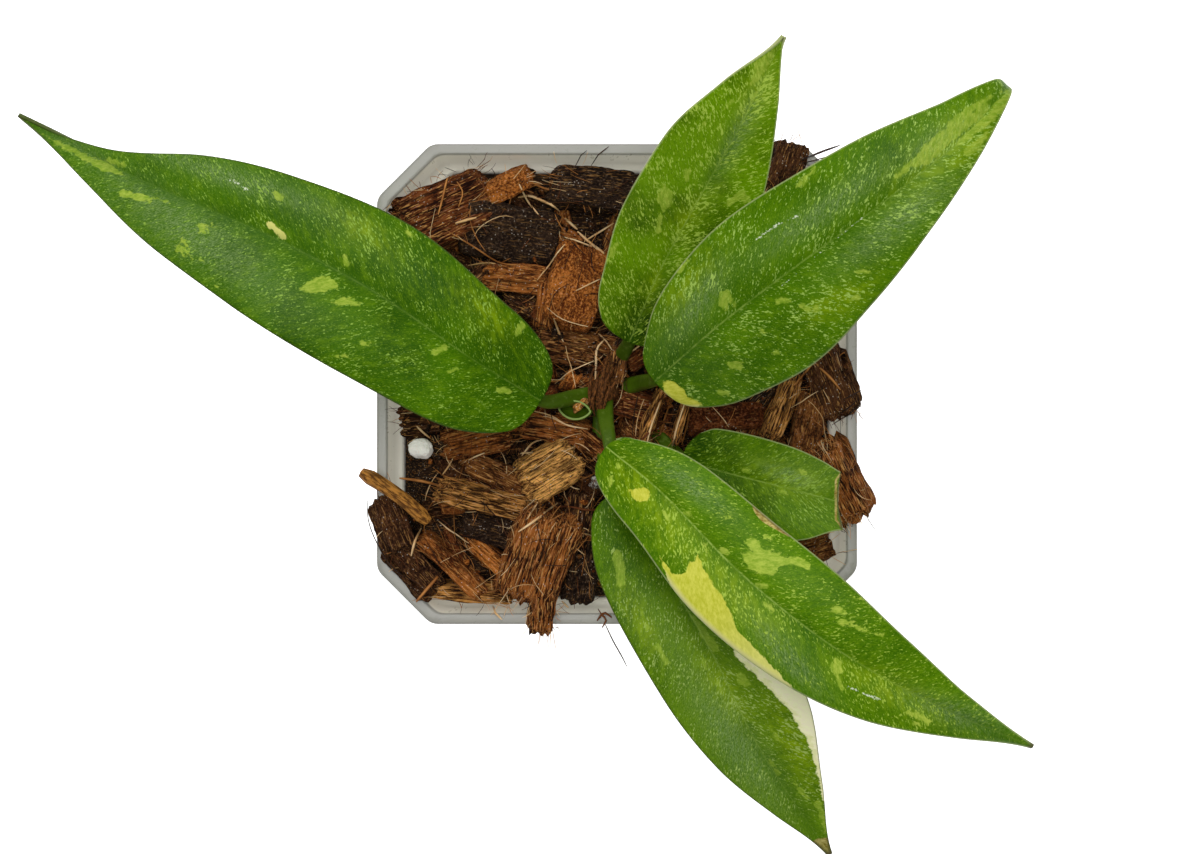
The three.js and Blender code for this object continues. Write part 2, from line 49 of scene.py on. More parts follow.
# The view straight down: the frame's size in pixels, the millimetres a pixel covers at the rim,
# the height of the eye over the rim and the point of the rim's plane under it
FRAME_WIDTH = 1200
FRAME_HEIGHT = 854
RIM_MM_PER_PIXEL = 0.1477
EYE_HEIGHT = 350.0
EYE_X = -2.51
EYE_Y = -6.35

SEED = 11
random.seed(SEED)


def photo_to_mm(px, py, height=0.0):
    """The point at a height over the rim that the eye sees at a pixel of the 1200 by 854 frame."""
    scale = RIM_MM_PER_PIXEL * (EYE_HEIGHT - height) / EYE_HEIGHT
    return EYE_X + (px - FRAME_WIDTH / 2) * scale, EYE_Y - (py - FRAME_HEIGHT / 2) * scale


def mm_to_photo(x, y, height):
    scale = RIM_MM_PER_PIXEL * (EYE_HEIGHT - height) / EYE_HEIGHT
    return FRAME_WIDTH / 2 + (x - EYE_X) / scale, FRAME_HEIGHT / 2 - (y - EYE_Y) / scale


def rgb(red, green, blue):
    """A colour from its 0 to 255 display values."""
    values = [c / 255 for c in (red, green, blue)]
    return tuple(c / 12.92 if c <= 0.04045 else ((c + 0.055) / 1.055) ** 2.4 for c in values) + (1.0,)


# Shader graphs


class Wire:
    """A shader socket whose values add, subtract and multiply as numbers do."""

    def __init__(self, finish, socket):
        self.finish = finish
        self.socket = socket

    def _math(self, operation, a, b):
        return self.finish.node("Math", {"operation": operation}, {0: a, 1: b})

    def __add__(self, other):
        return self._math("ADD", self, other)

    def __radd__(self, other):
        return self._math("ADD", other, self)

    def __sub__(self, other):
        return self._math("SUBTRACT", self, other)

    def __rsub__(self, other):
        return self._math("SUBTRACT", other, self)

    def __mul__(self, other):
        return self._math("MULTIPLY", self, other)

    def __rmul__(self, other):
        return self._math("MULTIPLY", other, self)

    def __abs__(self):
        return self.finish.node("Math", {"operation": "ABSOLUTE"}, {0: self})


class Finish:
    """A material, built up node by node. Sockets are named with _ for each space."""

    def __init__(self, name, **constants):
        self.material = bpy.data.materials.new(name)
        self.material.use_nodes = True
        self.tree = self.material.node_tree
        self.surface = self.tree.nodes["Principled BSDF"]
        for socket, value in constants.items():
            self.surface.inputs[socket.replace("_", " ")].default_value = value

    def node(self, kind, settings=None, sockets=None, output=0):
        made = self.tree.nodes.new("ShaderNode" + kind)
        for name, value in (settings or {}).items():
            setattr(made, name, value)
        for key, value in (sockets or {}).items():
            self.connect(value, made.inputs[key])
        return Wire(self, made.outputs[output])

    def connect(self, value, socket):
        if isinstance(value, Wire):
            self.tree.links.new(value.socket, socket)
        else:
            socket.default_value = value

    def feed(self, **wires):
        for name, value in wires.items():
            self.connect(value, self.surface.inputs[name.replace("_", " ")])

    def attribute(self, name, output="Vector"):
        return self.node("Attribute", {"attribute_name": name}, output=output)

    def place(self):
        """Object coordinates, in millimetres."""
        return self.stretch(self.node("TexCoord", output="Object"), (1 / MM, 1 / MM, 1 / MM))

    def split(self, vector):
        made = self.node("SeparateXYZ", sockets={0: vector})
        return [Wire(self, socket) for socket in made.socket.node.outputs]

    def vector(self, x, y, z):
        return self.node("CombineXYZ", sockets={0: x, 1: y, 2: z})

    def stretch(self, vector, scale):
        return self.node("Mapping", sockets={"Vector": vector, "Scale": scale})

    def noise(self, vector, scale, detail=2.0, roughness=0.5):
        sockets = {"Vector": vector, "Scale": scale, "Detail": detail, "Roughness": roughness}
        return self.node("TexNoise", sockets=sockets)

    def cells(self, vector, scale):
        """How far each point lies from the middle of its cell."""
        return self.node("TexVoronoi", sockets={"Vector": vector, "Scale": scale})

    def ease(self, value, low, high, to_low=0.0, to_high=1.0):
        """A smooth step from one value to another."""
        sockets = {0: value, 1: low, 2: high, 3: to_low, 4: to_high}
        return self.node("MapRange", {"interpolation_type": "SMOOTHSTEP"}, sockets)

    def mix(self, factor, a, b, blend="MIX"):
        settings = {"data_type": "RGBA", "blend_type": blend}
        return self.node("Mix", settings, {0: factor, 6: a, 7: b}, output=2)

    def bump(self, height, depth, strength):
        """A fine relief, its depth in millimetres."""
        return self.node("Bump", sockets={"Height": height, "Distance": depth * MM, "Strength": strength})


# Lines and meshes


class Route:
    """A smooth line through points, read by the share of its length that is behind."""

    STEPS = 200
    SHORTEST_SPAN = 1e-4
    LOOK_AHEAD = 1e-3

    def __init__(self, points):
        self.knots = [Vector(p) for p in points]
        walk = [self._raw(k / self.STEPS) for k in range(self.STEPS + 1)]
        self.reach = [0.0]
        for a, b in zip(walk, walk[1:]):
            self.reach.append(self.reach[-1] + (b - a).length)
        self.length = self.reach[-1]

    def _raw(self, t):
        knots = self.knots
        place = min(max(t, 0.0), 1.0) * (len(knots) - 1)
        k = min(int(place), len(knots) - 2)
        w = place - k
        b, c = knots[k], knots[k + 1]
        a = knots[k - 1] if k > 0 else 2 * knots[0] - knots[1]
        d = knots[k + 2] if k + 2 < len(knots) else 2 * knots[-1] - knots[-2]
        ab, bc, cd = [self._pace(p, q) for p, q in ((a, b), (b, c), (c, d))]
        leave = ((b - a) / ab - (c - a) / (ab + bc) + (c - b) / bc) * bc
        arrive = ((c - b) / bc - (d - b) / (bc + cd) + (d - c) / cd) * bc
        square = -3 * b + 3 * c - 2 * leave - arrive
        cube = 2 * b - 2 * c + leave + arrive
        return b + leave * w + square * w**2 + cube * w**3

    def _pace(self, p, q):
        return max((q - p).length ** 0.5, self.SHORTEST_SPAN)

    def at(self, u):
        target = min(max(u, 0.0), 1.0) * self.length
        k = int(np.searchsorted(self.reach, target, side="right")) - 1
        k = min(k, self.STEPS - 1)
        share = (target - self.reach[k]) / (self.reach[k + 1] - self.reach[k])
        return self._raw((k + share) / self.STEPS)

    def ahead(self, u):
        return (self.at(u + self.LOOK_AHEAD) - self.at(u - self.LOOK_AHEAD)).normalized()


UPRIGHT = 1e-3
END_SHARE = 1e-6
MERGE_GAP = 1e-4


def formed_grid(bm, columns, rows, place):
    """A grid whose points (u, v), both from 0 to 1, are moved by a formula."""
    verts = bmesh.ops.create_grid(bm, x_segments=columns, y_segments=rows, size=0.5)["verts"]
    for v in verts:
        v.co = place(v.co.x + 0.5, v.co.y + 0.5)
    return verts


def sweep(bm, route, radius_at, sides, steps, section=None):
    """A closed rod along a route; section gives the share of its radius at each angle and step."""
    def place(turn, along):
        centre = route.at(along)
        ahead = route.ahead(along)
        level = Vector((-ahead.y, ahead.x, 0))
        side = level.normalized() if level.length > UPRIGHT else Vector((1, 0, 0))
        up = ahead.cross(side)
        angle = math.tau * turn
        radius = radius_at(along)
        if along < END_SHARE or along > 1 - END_SHARE:
            radius = 0.0
        if section:
            radius *= section(angle, along)
        return centre + side * (radius * math.cos(angle)) - up * (radius * math.sin(angle))
    verts = formed_grid(bm, sides, steps, place)
    bmesh.ops.remove_doubles(bm, verts=verts, dist=MERGE_GAP)


def piece_of(bm, name, materials, slot, *nodes):
    """Puts a drawn mesh in place as a piece that stands for the named nodes."""
    bmesh.ops.transform(bm, matrix=PUT_IN_PLACE, verts=bm.verts)
    mesh = bpy.data.meshes.new(name)
    bm.to_mesh(mesh)
    bm.free()
    for polygon in mesh.polygons:
        polygon.use_smooth = True
    for material in materials:
        mesh.materials.append(material)
    piece = bpy.data.objects.new(name, mesh)
    bpy.context.scene.collection.objects.link(piece)
    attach(piece, "root")
    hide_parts(*nodes)
    return piece


# Camera, floor and light


def make_camera():
    camera = bpy.data.cameras.new("camera")
    half_frame = FRAME_WIDTH * RIM_MM_PER_PIXEL / 2
    camera.angle = 2 * math.atan(half_frame / EYE_HEIGHT)
    eye = bpy.data.objects.new("camera", camera)
    eye.location = (EYE_X * MM, EYE_Y * MM, (EYE_HEIGHT + POT_HEIGHT) * MM)
    bpy.context.scene.collection.objects.link(eye)
    bpy.context.scene.camera = eye


FLOOR_REACH = 1.6
# The place, the width and the power of each round lamp, in metres and watts, and what they point at
LAMPS = {"window": ((-0.14, 0.52, 0.64), 0.36, 1.6), "overhead": ((-0.04, 0.10, 0.94), 0.60, 4.4)}
LAMP_TARGET = Vector((0, 0, 0.07))
SKY_STRENGTH = 0.24


def hang_lamp(name, location, width, power):
    light = bpy.data.lights.new(name, "AREA")
    light.shape = "DISK"
    light.size = width
    light.energy = power
    lamp = bpy.data.objects.new(name, light)
    lamp.location = location
    lamp.rotation_euler = (Vector(location) - LAMP_TARGET).to_track_quat("Z", "Y").to_euler()
    bpy.context.scene.collection.objects.link(lamp)


def lay_floor():
    bm = bmesh.new()
    bmesh.ops.create_grid(bm, x_segments=2, y_segments=2, size=FLOOR_REACH)
    mesh = bpy.data.meshes.new("floor")
    bm.to_mesh(mesh)
    bm.free()
    floor = bpy.data.objects.new("floor", mesh)
    bpy.context.scene.collection.objects.link(floor)
    paper = Finish("pale_floor", Roughness=0.9, Emission_Strength=0.9)
    paper.feed(Base_Color=rgb(240, 240, 240), Emission_Color=rgb(255, 255, 255))
    mesh.materials.append(paper.material)


def light_up():
    for name, (location, width, power) in LAMPS.items():
        hang_lamp(name, location, width, power)
    world = bpy.data.worlds.new("studio")
    world.use_nodes = True
    world.node_tree.nodes["Background"].inputs["Color"].default_value = (1, 1, 1, 1)
    world.node_tree.nodes["Background"].inputs["Strength"].default_value = SKY_STRENGTH
    bpy.context.scene.world = world
    bpy.context.scene.view_settings.view_transform = "Standard"


# Leaves. A petiole leads from the stem to the blade's base, and the midrib from there to the tip.
# left and right are the half-widths seen from above, at even steps from base to tip. fold lifts
# the halves, arch bends them down, bank tilts the blade, wave and waves ripple its margin, and
# cut and slant shape an end that was cut off.

Leaf = namedtuple("Leaf", "name petiole midrib left right fold arch bank wave waves cut slant")

LEAVES = [
    Leaf(
        "leaf_west",
        petiole=[(-2.2, -1.4, -1.6), (-6.2, -2.0, 1.8), (-10.2, -2.7, 7.2)],
        midrib=[
            (-12.0, -2.0, 10.5), (-20.8, 3.4, 16.5), (-33.2, 12.0, 20),
            (-48.4, 20.2, 21), (-65.6, 27.7, 18.5), (-85.4, 38.0, 12),
        ],
        left=[8.5, 10.8, 12.1, 11.3, 8.3, 3.8, 0.2],
        right=[8, 9.3, 10.5, 9.1, 6.6, 1.5, 0.2],
        fold=0.34, arch=0.3, bank=0.04, wave=0.5, waves=2.3, cut=0.0, slant=0.0,
    ),
    Leaf(
        "leaf_north",
        petiole=[(-2.2, -0.8, -5.0), (-0.2, 2.8, -2.0), (1.3, 5.2, 3.2)],
        midrib=[(2.1, 6.9, 8), (5.9, 15.7, 16.5), (10.9, 24.7, 26), (16.4, 34.3, 36), (21.3, 44.2, 43)],
        left=[6.5, 7.3, 8.6, 8.5, 7.6, 4.5, 0.2],
        right=[5, 7.5, 9.0, 8.7, 6.5, 3.4, 0.2],
        fold=0.3, arch=0.22, bank=0.22, wave=0.3, waves=2.1, cut=0.0, slant=0.0,
    ),
    Leaf(
        "leaf_northeast",
        petiole=[(-1.4, -1.2, -4.0), (2.8, 0.0, 0.2), (5.0, 0.4, 7.0)],
        midrib=[
            (6.0, 0.8, 13), (14.0, 7.8, 24.5), (24.3, 15.6, 33.5), (34.2, 22.8, 39.5),
            (44.5, 31.1, 41.5), (50.6, 37.8, 38.5), (51.8, 39.2, 33),
        ],
        left=[5.4, 8.7, 10.6, 9.9, 8.2, 4.6, 0.2],
        right=[8, 10.6, 12, 9.9, 6.3, 2.4, 0.2],
        fold=0.26, arch=0.3, bank=0.1, wave=0.4, waves=2.2, cut=0.0, slant=0.0,
    ),
    Leaf(
        "leaf_southeast",
        petiole=[(-1.9, -1.7, 0.2), (-1.7, -5.2, 4.4), (-1.3, -7.6, 8.4)],
        midrib=[
            (-0.7, -9.9, 12.3), (6.0, -15.4, 18), (16.9, -26.5, 23),
            (29.2, -36.3, 24), (43.4, -44.6, 21), (58.8, -51.6, 14),
        ],
        left=[4.0, 6.8, 8.2, 8.3, 6.1, 2.9, 0.2],
        right=[6, 7.0, 8.4, 8.2, 6.5, 3.1, 0.2],
        fold=0.3, arch=0.34, bank=0.06, wave=0.5, waves=1.8, cut=0.0, slant=0.0,
    ),
    Leaf(
        "leaf_south",
        petiole=[(-2.0, -1.8, -4.0), (-2.4, -8.2, -1.8), (-1.0, -13.6, 1.6)],
        midrib=[
            (0.1, -17.0, 4.5), (6.1, -26.3, 8), (13.3, -38.3, 9.5), (20.6, -52.9, 7.5), (31.2, -69.0, 2.5),
        ],
        left=[6, 8.5, 9.5, 9.8, 9.0, 5.0, 0.2],
        right=[6.5, 8.8, 9.5, 9.0, 6.7, 3.4, 0.2],
        fold=0.26, arch=0.2, bank=0.02, wave=0.4, waves=1.7, cut=0.0, slant=0.0,
    ),
    Leaf(
        "leaf_cut",
        petiole=[(-0.8, -1.6, -5.4), (4.0, -5.6, -5.8), (8.4, -9.9, -2.4)],
        midrib=[(10.6, -11.5, 3.0), (16.2, -13.1, 5.2), (23.0, -14.8, 7.8), (32.2, -17.2, 9.6)],
        left=[5.4, 6.0, 6.2, 6.1, 5.8, 5.1, 4.2],
        right=[4.5, 6.8, 8, 8.2, 7.8, 6.4, 3.8],
        fold=0.28, arch=0.2, bank=-0.04, wave=0.2, waves=1.2, cut=0.5, slant=1.2,
    ),
]

BASE_ROUNDING = 0.12
BASE_FRACTION = 0.5
BASE_BULGE = 1.3
MARGIN_LAG = 1.2
BLADE_THICKNESS = 0.5
BLADE_ROWS = 200
BLADE_COLUMNS = 48
# Rows stand closer at base and tip, and columns closer at the midrib
EVEN_ROWS = 0.55
CROWDED_ROWS = 0.225
COLUMN_POWER = 1.2
CREASE_ROUNDING = 0.03
TIP_POWER = 8
BASE_MARGIN = 0.4
LAST_SHARE = 0.99999

PETIOLE_RADIUS = 1.35
PETIOLE_TAPER = 0.5
PETIOLE_GROOVE = 0.35
PETIOLE_OVERLAP = 0.25
PETIOLE_END_DROP = 0.3
JOINT_DROP = 0.9
MIDRIB_RADIUS = 0.75
MIDRIB_TAPER = 0.5
MIDRIB_START = 0.02
MIDRIB_RUN = 0.88
MIDRIB_SPANS = 12

# The markings of each leaf, and the glints painted on it as highlights, in pixels of the 1200 by 854 frame.
# An outline is a closed list of points, and a streak runs from one point to another with a half-width.
OUTLINES = {
    "lime": {
        "leaf_west": [
            [(43, 135), (72, 148), (97, 159), (113, 166), (126, 177), (114, 175), (97, 168), (78, 156),
             (56, 145)],
            [(299, 288), (314, 278), (329, 277), (337, 284), (337, 289), (325, 293), (307, 292)],
            [(329, 302), (344, 298), (362, 302), (359, 306), (344, 306)],
        ],
        "leaf_north": [
            [(664, 183), (668, 189), (676, 188), (668, 205), (662, 215), (660, 205), (656, 201)],
            [(755, 62), (771, 50), (775, 48), (767, 66), (755, 82), (745, 92), (753, 74)],
        ],
        "leaf_northeast": [
            [(721, 290), (730, 289), (731, 298), (726, 310), (720, 303)],
            [(908, 166), (922, 148), (940, 132), (962, 118), (952, 134), (934, 150), (918, 166)],
            [(946, 124), (966, 108), (988, 96), (1000, 92), (984, 104), (964, 120), (944, 134)],
            [(979, 124), (992, 106), (1008, 92), (1012, 90), (1002, 106), (988, 122), (980, 130)],
            [(962, 150), (987, 131), (979, 150), (965, 160)],
        ],
        "leaf_southeast": [
            [(743, 540), (751, 539), (759, 542), (764, 549), (773, 551), (786, 558), (799, 558), (812, 566),
             (808, 570), (796, 566), (788, 564), (780, 567), (775, 574), (762, 574), (749, 569), (743, 559),
             (742, 553), (753, 551), (748, 545)],
        ],
        "leaf_south": [
            [(689, 612), (700, 622), (722, 650), (716, 652), (702, 638)],
            [(733, 672), (744, 674), (751, 687), (739, 683)],
            [(765, 721), (777, 733), (784, 745), (775, 739)],
        ],
    },
    "yellow": {
        "leaf_northeast": [
            [(664, 380), (676, 381), (685, 387), (688, 396), (706, 404), (688, 410), (664, 400)],
        ],
        "leaf_southeast": [
            [(660, 556), (673, 574), (686, 573), (690, 561), (695, 562), (698, 555), (702, 562), (703, 570),
             (709, 574), (714, 586), (722, 594), (730, 613), (738, 631), (748, 639), (759, 652), (774, 667),
             (792, 687), (780, 692), (690, 630)],
            [(630, 491), (636, 489), (646, 490), (651, 495), (649, 502), (639, 502), (633, 499)],
        ],
    },
    "cream": {
        "leaf_south": [
            [(735, 655), (748, 667), (762, 681), (777, 697), (789, 710), (798, 726), (807, 739), (811, 753),
             (816, 769), (820, 791), (824, 806), (850, 800), (850, 620), (735, 620)],
        ],
    },
    "dry": {
        "leaf_southeast": [
            [(751, 504), (767, 512), (794, 533), (790, 538), (776, 531), (763, 523), (755, 515)],
        ],
        "leaf_south": [[(806, 843), (817, 838), (828, 837), (850, 838), (850, 870), (806, 870)]],
    },
}
STREAKS = {
    "lime": {
        "leaf_west": [
            (124, 194, 150, 200, 3.0), (154, 198, 168, 202, 1.0), (110, 160, 124, 165, 2.0),
            (276, 193, 281, 197, 3.0), (200, 226, 214, 226, 1.6), (199, 234, 208, 233, 1.4),
            (178, 248, 189, 250, 2.0), (183, 241, 191, 242, 1.5), (184, 255, 205, 261, 1.0),
            (212, 284, 222, 288, 1.3), (344, 256, 347, 263, 2.4), (516, 332, 521, 324, 3.4),
            (434, 351, 444, 348, 2.6), (337, 355, 352, 357, 1.8), (449, 371, 456, 369, 1.8),
            (406, 230, 410, 235, 2.4), (496, 389, 508, 391, 2.0), (362, 342, 373, 343, 1.2),
        ],
        "leaf_north": [
            (660, 217, 658, 229, 2.6), (616, 243, 612, 254, 3.0), (730, 203, 743, 192, 3.2),
            (745, 201, 747, 197, 2.2), (688, 169, 687, 178, 2.2), (723, 110, 732, 100, 1.6),
            (640, 290, 644, 280, 1.6), (700, 130, 705, 122, 1.4), (748, 108, 756, 92, 1.2),
        ],
        "leaf_northeast": [
            (734, 301, 735, 304, 2.4), (808, 309, 817, 308, 2.4), (777, 301, 790, 300, 1.8),
            (801, 304, 806, 304, 1.6), (857, 271, 869, 271, 1.6), (762, 332, 766, 333, 2.0),
            (772, 353, 777, 353, 2.0), (731, 364, 740, 365, 3.0), (798, 187, 815, 169, 2.0),
            (676, 274, 690, 260, 2.4), (722, 392, 728, 391, 1.8), (744, 331, 748, 330, 1.4),
            (926, 158, 984, 108, 4.6), (958, 144, 996, 112, 3.8), (898, 176, 916, 158, 2.4),
            (850, 300, 860, 294, 1.4), (700, 318, 704, 306, 1.4), (1000, 110, 1008, 92, 2.6),
        ],
        "leaf_southeast": [
            (617, 464, 619, 467, 2.0), (611, 484, 613, 476, 2.0), (765, 603, 772, 610, 2.2),
            (722, 550, 727, 553, 1.8), (765, 538, 773, 539, 1.6), (757, 585, 767, 586, 1.4),
            (832, 609, 845, 611, 2.2), (841, 622, 852, 624, 2.6), (855, 627, 881, 635, 1.6),
            (836, 659, 841, 670, 2.6), (908, 712, 927, 720, 2.8), (914, 722, 919, 724, 1.6),
            (853, 596, 872, 602, 1.3), (685, 513, 692, 515, 1.5), (726, 516, 731, 518, 1.5),
            (704, 545, 708, 555, 1.4), (668, 520, 664, 512, 1.2), (832, 665, 842, 688, 1.2),
        ],
        "leaf_south": [
            (618, 556, 621, 584, 4.4), (657, 646, 667, 663, 2.4), (704, 660, 706, 668, 2.0),
            (717, 680, 722, 693, 1.8), (795, 782, 807, 797, 2.0), (818, 804, 826, 830, 3.0),
            (690, 740, 700, 752, 1.6), (642, 612, 648, 628, 1.4), (770, 760, 778, 772, 1.4),
        ],
        "leaf_cut": [(779, 492, 787, 494, 1.4), (744, 470, 750, 472, 1.8), (800, 470, 806, 474, 1.4)],
    },
    "yellow": {"leaf_west": [(270, 224, 284, 236, 3.4)]},
    "dry": {"leaf_cut": [(843, 470, 836, 480, 1.2), (836, 480, 836, 520, 1.4), (836, 520, 842, 527, 1.2)]},
    # Glints are painted highlights, reflections of the light laid into the colour, not marks on the leaf
    "glint": {
        "leaf_west": [(228, 180, 238, 183, 1.3), (239, 184, 248, 190, 1.5)],
        "leaf_northeast": [(757, 238, 778, 224, 1.5), (778, 224, 806, 212, 1.2), (782, 286, 866, 214, 0.5)],
        "leaf_southeast": [(845, 686, 856, 690, 1.4), (862, 693, 880, 699, 1.6)],
    },
}
# Where the specks stand close together, and where a silvery sheen is painted on the green, a reflection of
# the light: a centre, a half-length, a half-width and a turn in degrees
HAZES = {
    "leaf_west": [(362, 230, 34, 13, 35), (486, 312, 34, 14, 45)],
    "leaf_north": [(653, 282, 26, 7, 108), (690, 215, 34, 12, 130), (760, 90, 50, 14, 120)],
    "leaf_northeast": [(950, 150, 70, 24, 140), (690, 285, 40, 14, 130), (840, 300, 34, 12, 150)],
    "leaf_southeast": [(635, 486, 34, 18, 55), (668, 525, 44, 18, 50), (730, 590, 70, 16, 45),
                       (890, 690, 60, 16, 25)],
    "leaf_south": [(796, 745, 50, 16, 60), (725, 690, 50, 16, 55), (640, 620, 40, 12, 62)],
    "leaf_cut": [(790, 480, 40, 16, 15)],
}
PAINTED_SHEENS = {
    "leaf_west": [(190, 232, 104, 24, 34), (232, 178, 100, 11, 19), (92, 158, 60, 8, 32)],
    "leaf_north": [(740, 130, 50, 10, 118)],
    "leaf_northeast": [(826, 208, 82, 13, 146), (898, 222, 66, 15, 143), (700, 300, 44, 14, 125),
                       (936, 144, 44, 13, 142)],
    "leaf_southeast": [(692, 487, 44, 10, 36), (786, 655, 50, 12, 44), (950, 712, 54, 12, 20)],
    "leaf_south": [(736, 742, 74, 20, 55)],
    "leaf_cut": [(790, 476, 30, 8, 20)],
}
FAR_OUTSIDE = -40.0
LEVEL_EDGE = 1e-9


def outline_depth(points, outline):
    """How deep points lie inside an outline, in pixels, and below zero outside it."""
    inside = np.zeros(len(points), bool)
    nearest = np.full(len(points), np.inf)
    for start, end in zip(outline, outline[1:] + outline[:1]):
        a, b = np.array(start, float), np.array(end, float)
        nearest = np.minimum(nearest, segment_distance(points, a, b))
        crosses = (a[1] > points[:, 1]) != (b[1] > points[:, 1])
        rise = b[1] - a[1] if b[1] != a[1] else LEVEL_EDGE
        reach = (b[0] - a[0]) * (points[:, 1] - a[1]) / rise + a[0]
        inside ^= crosses & (points[:, 0] < reach)
    return np.where(inside, nearest, -nearest)


def segment_distance(points, a, b):
    along = np.clip((points - a) @ (b - a) / ((b - a) @ (b - a)), 0, 1)
    return np.linalg.norm(points - a - along[:, None] * (b - a), axis=1)


def marking_depth(points, kind, leaf):
    """How deep points lie inside the markings of one kind on one leaf, in pixels."""
    depth = np.full(len(points), FAR_OUTSIDE)
    for outline in OUTLINES.get(kind, {}).get(leaf, []):
        depth = np.maximum(depth, outline_depth(points, outline))
    for x1, y1, x2, y2, half_width in STREAKS.get(kind, {}).get(leaf, []):
        gap = segment_distance(points, np.array([x1, y1], float), np.array([x2, y2], float))
        depth = np.maximum(depth, half_width - gap)
    return depth


def spread_of(points, ellipses):
    """How strongly points lie in soft ellipses, from 0 to 1."""
    most = np.zeros(len(points))
    for x, y, long, short, turn in ellipses:
        c, s = math.cos(math.radians(turn)), math.sin(math.radians(turn))
        dx, dy = points[:, 0] - x, points[:, 1] - y
        spread = ((dx * c + dy * s) / long) ** 2 + ((dy * c - dx * s) / short) ** 2
        most = np.maximum(most, np.exp(-spread))
    return most


def between(stations, t):
    """A smooth value between evenly spaced stations."""
    last = len(stations) - 1
    place = min(t, LAST_SHARE) * last
    k = int(place)
    f = place - k
    a, b, c, d = [stations[max(0, min(last, i))] for i in (k - 1, k, k + 1, k + 2)]
    return b + 0.5 * f * (c - a + f * (2 * a - 5 * b + 4 * c - d + f * (3 * (b - c) + d - a)))


class Blade:
    """The surface of one leaf blade, read by t from base to tip and s from left to right."""

    def __init__(self, leaf):
        self.leaf = leaf
        self.route = Route(leaf.midrib)

    def row(self, t):
        """What the points of one row share."""
        ahead = self.route.ahead(t)
        flat = math.hypot(ahead.x, ahead.y)
        near = 1 - min(1, t / BASE_ROUNDING)
        rounding = BASE_FRACTION + (1 - BASE_FRACTION) * math.sqrt(1 - near * near)
        halves = [between(side, t) * rounding for side in (self.leaf.left, self.leaf.right)]
        return self.route.at(t), ahead, Vector((ahead.y, -ahead.x, 0)) / flat, near, halves

    def surface(self, row, t, s):
        """The place of a point, how far it lies across the blade and how far from the margin."""
        leaf = self.leaf
        centre, ahead, right, near, halves = row
        half = halves[0] if s < 0 else halves[1]
        u = abs(s)
        lag = MARGIN_LAG if s < 0 else 0.0
        ripple = leaf.wave * u * u * math.sin(math.tau * leaf.waves * t + lag)
        soft = math.sqrt(u * u + CREASE_ROUNDING**2) - CREASE_ROUNDING
        rise = half * (leaf.fold * soft - leaf.arch * u * u) - leaf.bank * s * half + ripple
        rim = math.sqrt(max(0.0, 1 - u * u))
        end = leaf.cut * (1 - u * u) - leaf.slant * s
        pull = BASE_BULGE * near * near * rim + t**TIP_POWER * end
        place = centre + right * (s * half) - ahead * pull + Vector((0, 0, rise))
        margin = min((1 - u) * half, t * self.route.length + BASE_MARGIN)
        return place, s * half, margin


def make_blade(leaf, top, under, rim):
    """The blade, with what its finish reads at each point of it."""
    blade = Blade(leaf)
    bm = bmesh.new()
    layers = bm.verts.layers.float_vector
    plan, marks, wear, shine = [layers.new(name) for name in ("plan", "marks", "wear", "shine")]
    bmesh.ops.create_grid(bm, x_segments=BLADE_COLUMNS, y_segments=BLADE_ROWS, size=0.5)
    bm.verts.index_update()
    rows = {}
    share = {}
    for v in bm.verts:
        even = v.co.y + 0.5
        t = EVEN_ROWS * even + CROWDED_ROWS * (1 - math.cos(math.pi * even))
        s = math.copysign(abs(2 * v.co.x) ** COLUMN_POWER, v.co.x)
        key = round(even * BLADE_ROWS)
        if key not in rows:
            rows[key] = blade.row(t)
        v.co, across, margin = blade.surface(rows[key], t, s)
        share[v.index] = t
        v[plan] = (t * blade.route.length, across, margin)
    points = np.array([mm_to_photo(*v.co) for v in bm.verts])
    kinds = ("lime", "yellow", "cream", "dry", "glint")
    lime, yellow, cream, dry, glint = [marking_depth(points, kind, leaf.name) for kind in kinds]
    haze = spread_of(points, HAZES[leaf.name])
    # The glints and the sheen ellipses are painted highlights and a painted reflection of the light
    bloom = spread_of(points, PAINTED_SHEENS[leaf.name])
    for k, v in enumerate(bm.verts):
        v[marks] = (lime[k], yellow[k], cream[k])
        v[wear] = (dry[k], haze[k], share[k])
        v[shine] = (bloom[k], glint[k], 0.0)
    piece = piece_of(bm, leaf.name + "_blade", [top, under, rim], "leaf_green", leaf.name)
    solid = piece.modifiers.new("thickness", "SOLIDIFY")
    solid.thickness = BLADE_THICKNESS * MM
    solid.offset = 0.0
    solid.material_offset = 1
    solid.material_offset_rim = 2
    return blade


def make_stalk(leaf, blade, stalk_green):
    """The petiole with its shallow groove, and the raised rib under the blade."""
    base, ahead = Vector(leaf.midrib[0]), Vector(leaf.midrib[1])
    joint = base - Vector((0, 0, JOINT_DROP))
    end = joint + PETIOLE_OVERLAP * (ahead - base) - Vector((0, 0, PETIOLE_END_DROP))
    bm = bmesh.new()

    def thickness(u):
        return PETIOLE_RADIUS - PETIOLE_TAPER * u

    def grooved(angle, along):
        upward = max(0.0, math.cos(angle + math.pi / 2))
        return 1.0 - PETIOLE_GROOVE * upward**6

    sweep(bm, Route(leaf.petiole + [joint, end]), thickness, 20, 40, grooved)
    drop = Vector((0, 0, MIDRIB_RADIUS))
    shares = [MIDRIB_START + MIDRIB_RUN * k / MIDRIB_SPANS for k in range(MIDRIB_SPANS + 1)]
    rib = Route([blade.route.at(share) - drop for share in shares])
    sweep(bm, rib, lambda u: MIDRIB_RADIUS - MIDRIB_TAPER * u, 10, 60)
    piece_of(bm, leaf.name + "_stalk", [stalk_green], "leaf_green", leaf.name)


# The open sheath at the foot of the left leaf's petiole
BOAT = {"centre": (-6.1, -3.9, 3.0), "size": (5.2, 3.0, 4.2), "yaw": 174, "pitch": 16}
BOAT_OPENING = math.radians(104)
BOAT_PINCH = 0.45
BOAT_WALL = 0.28


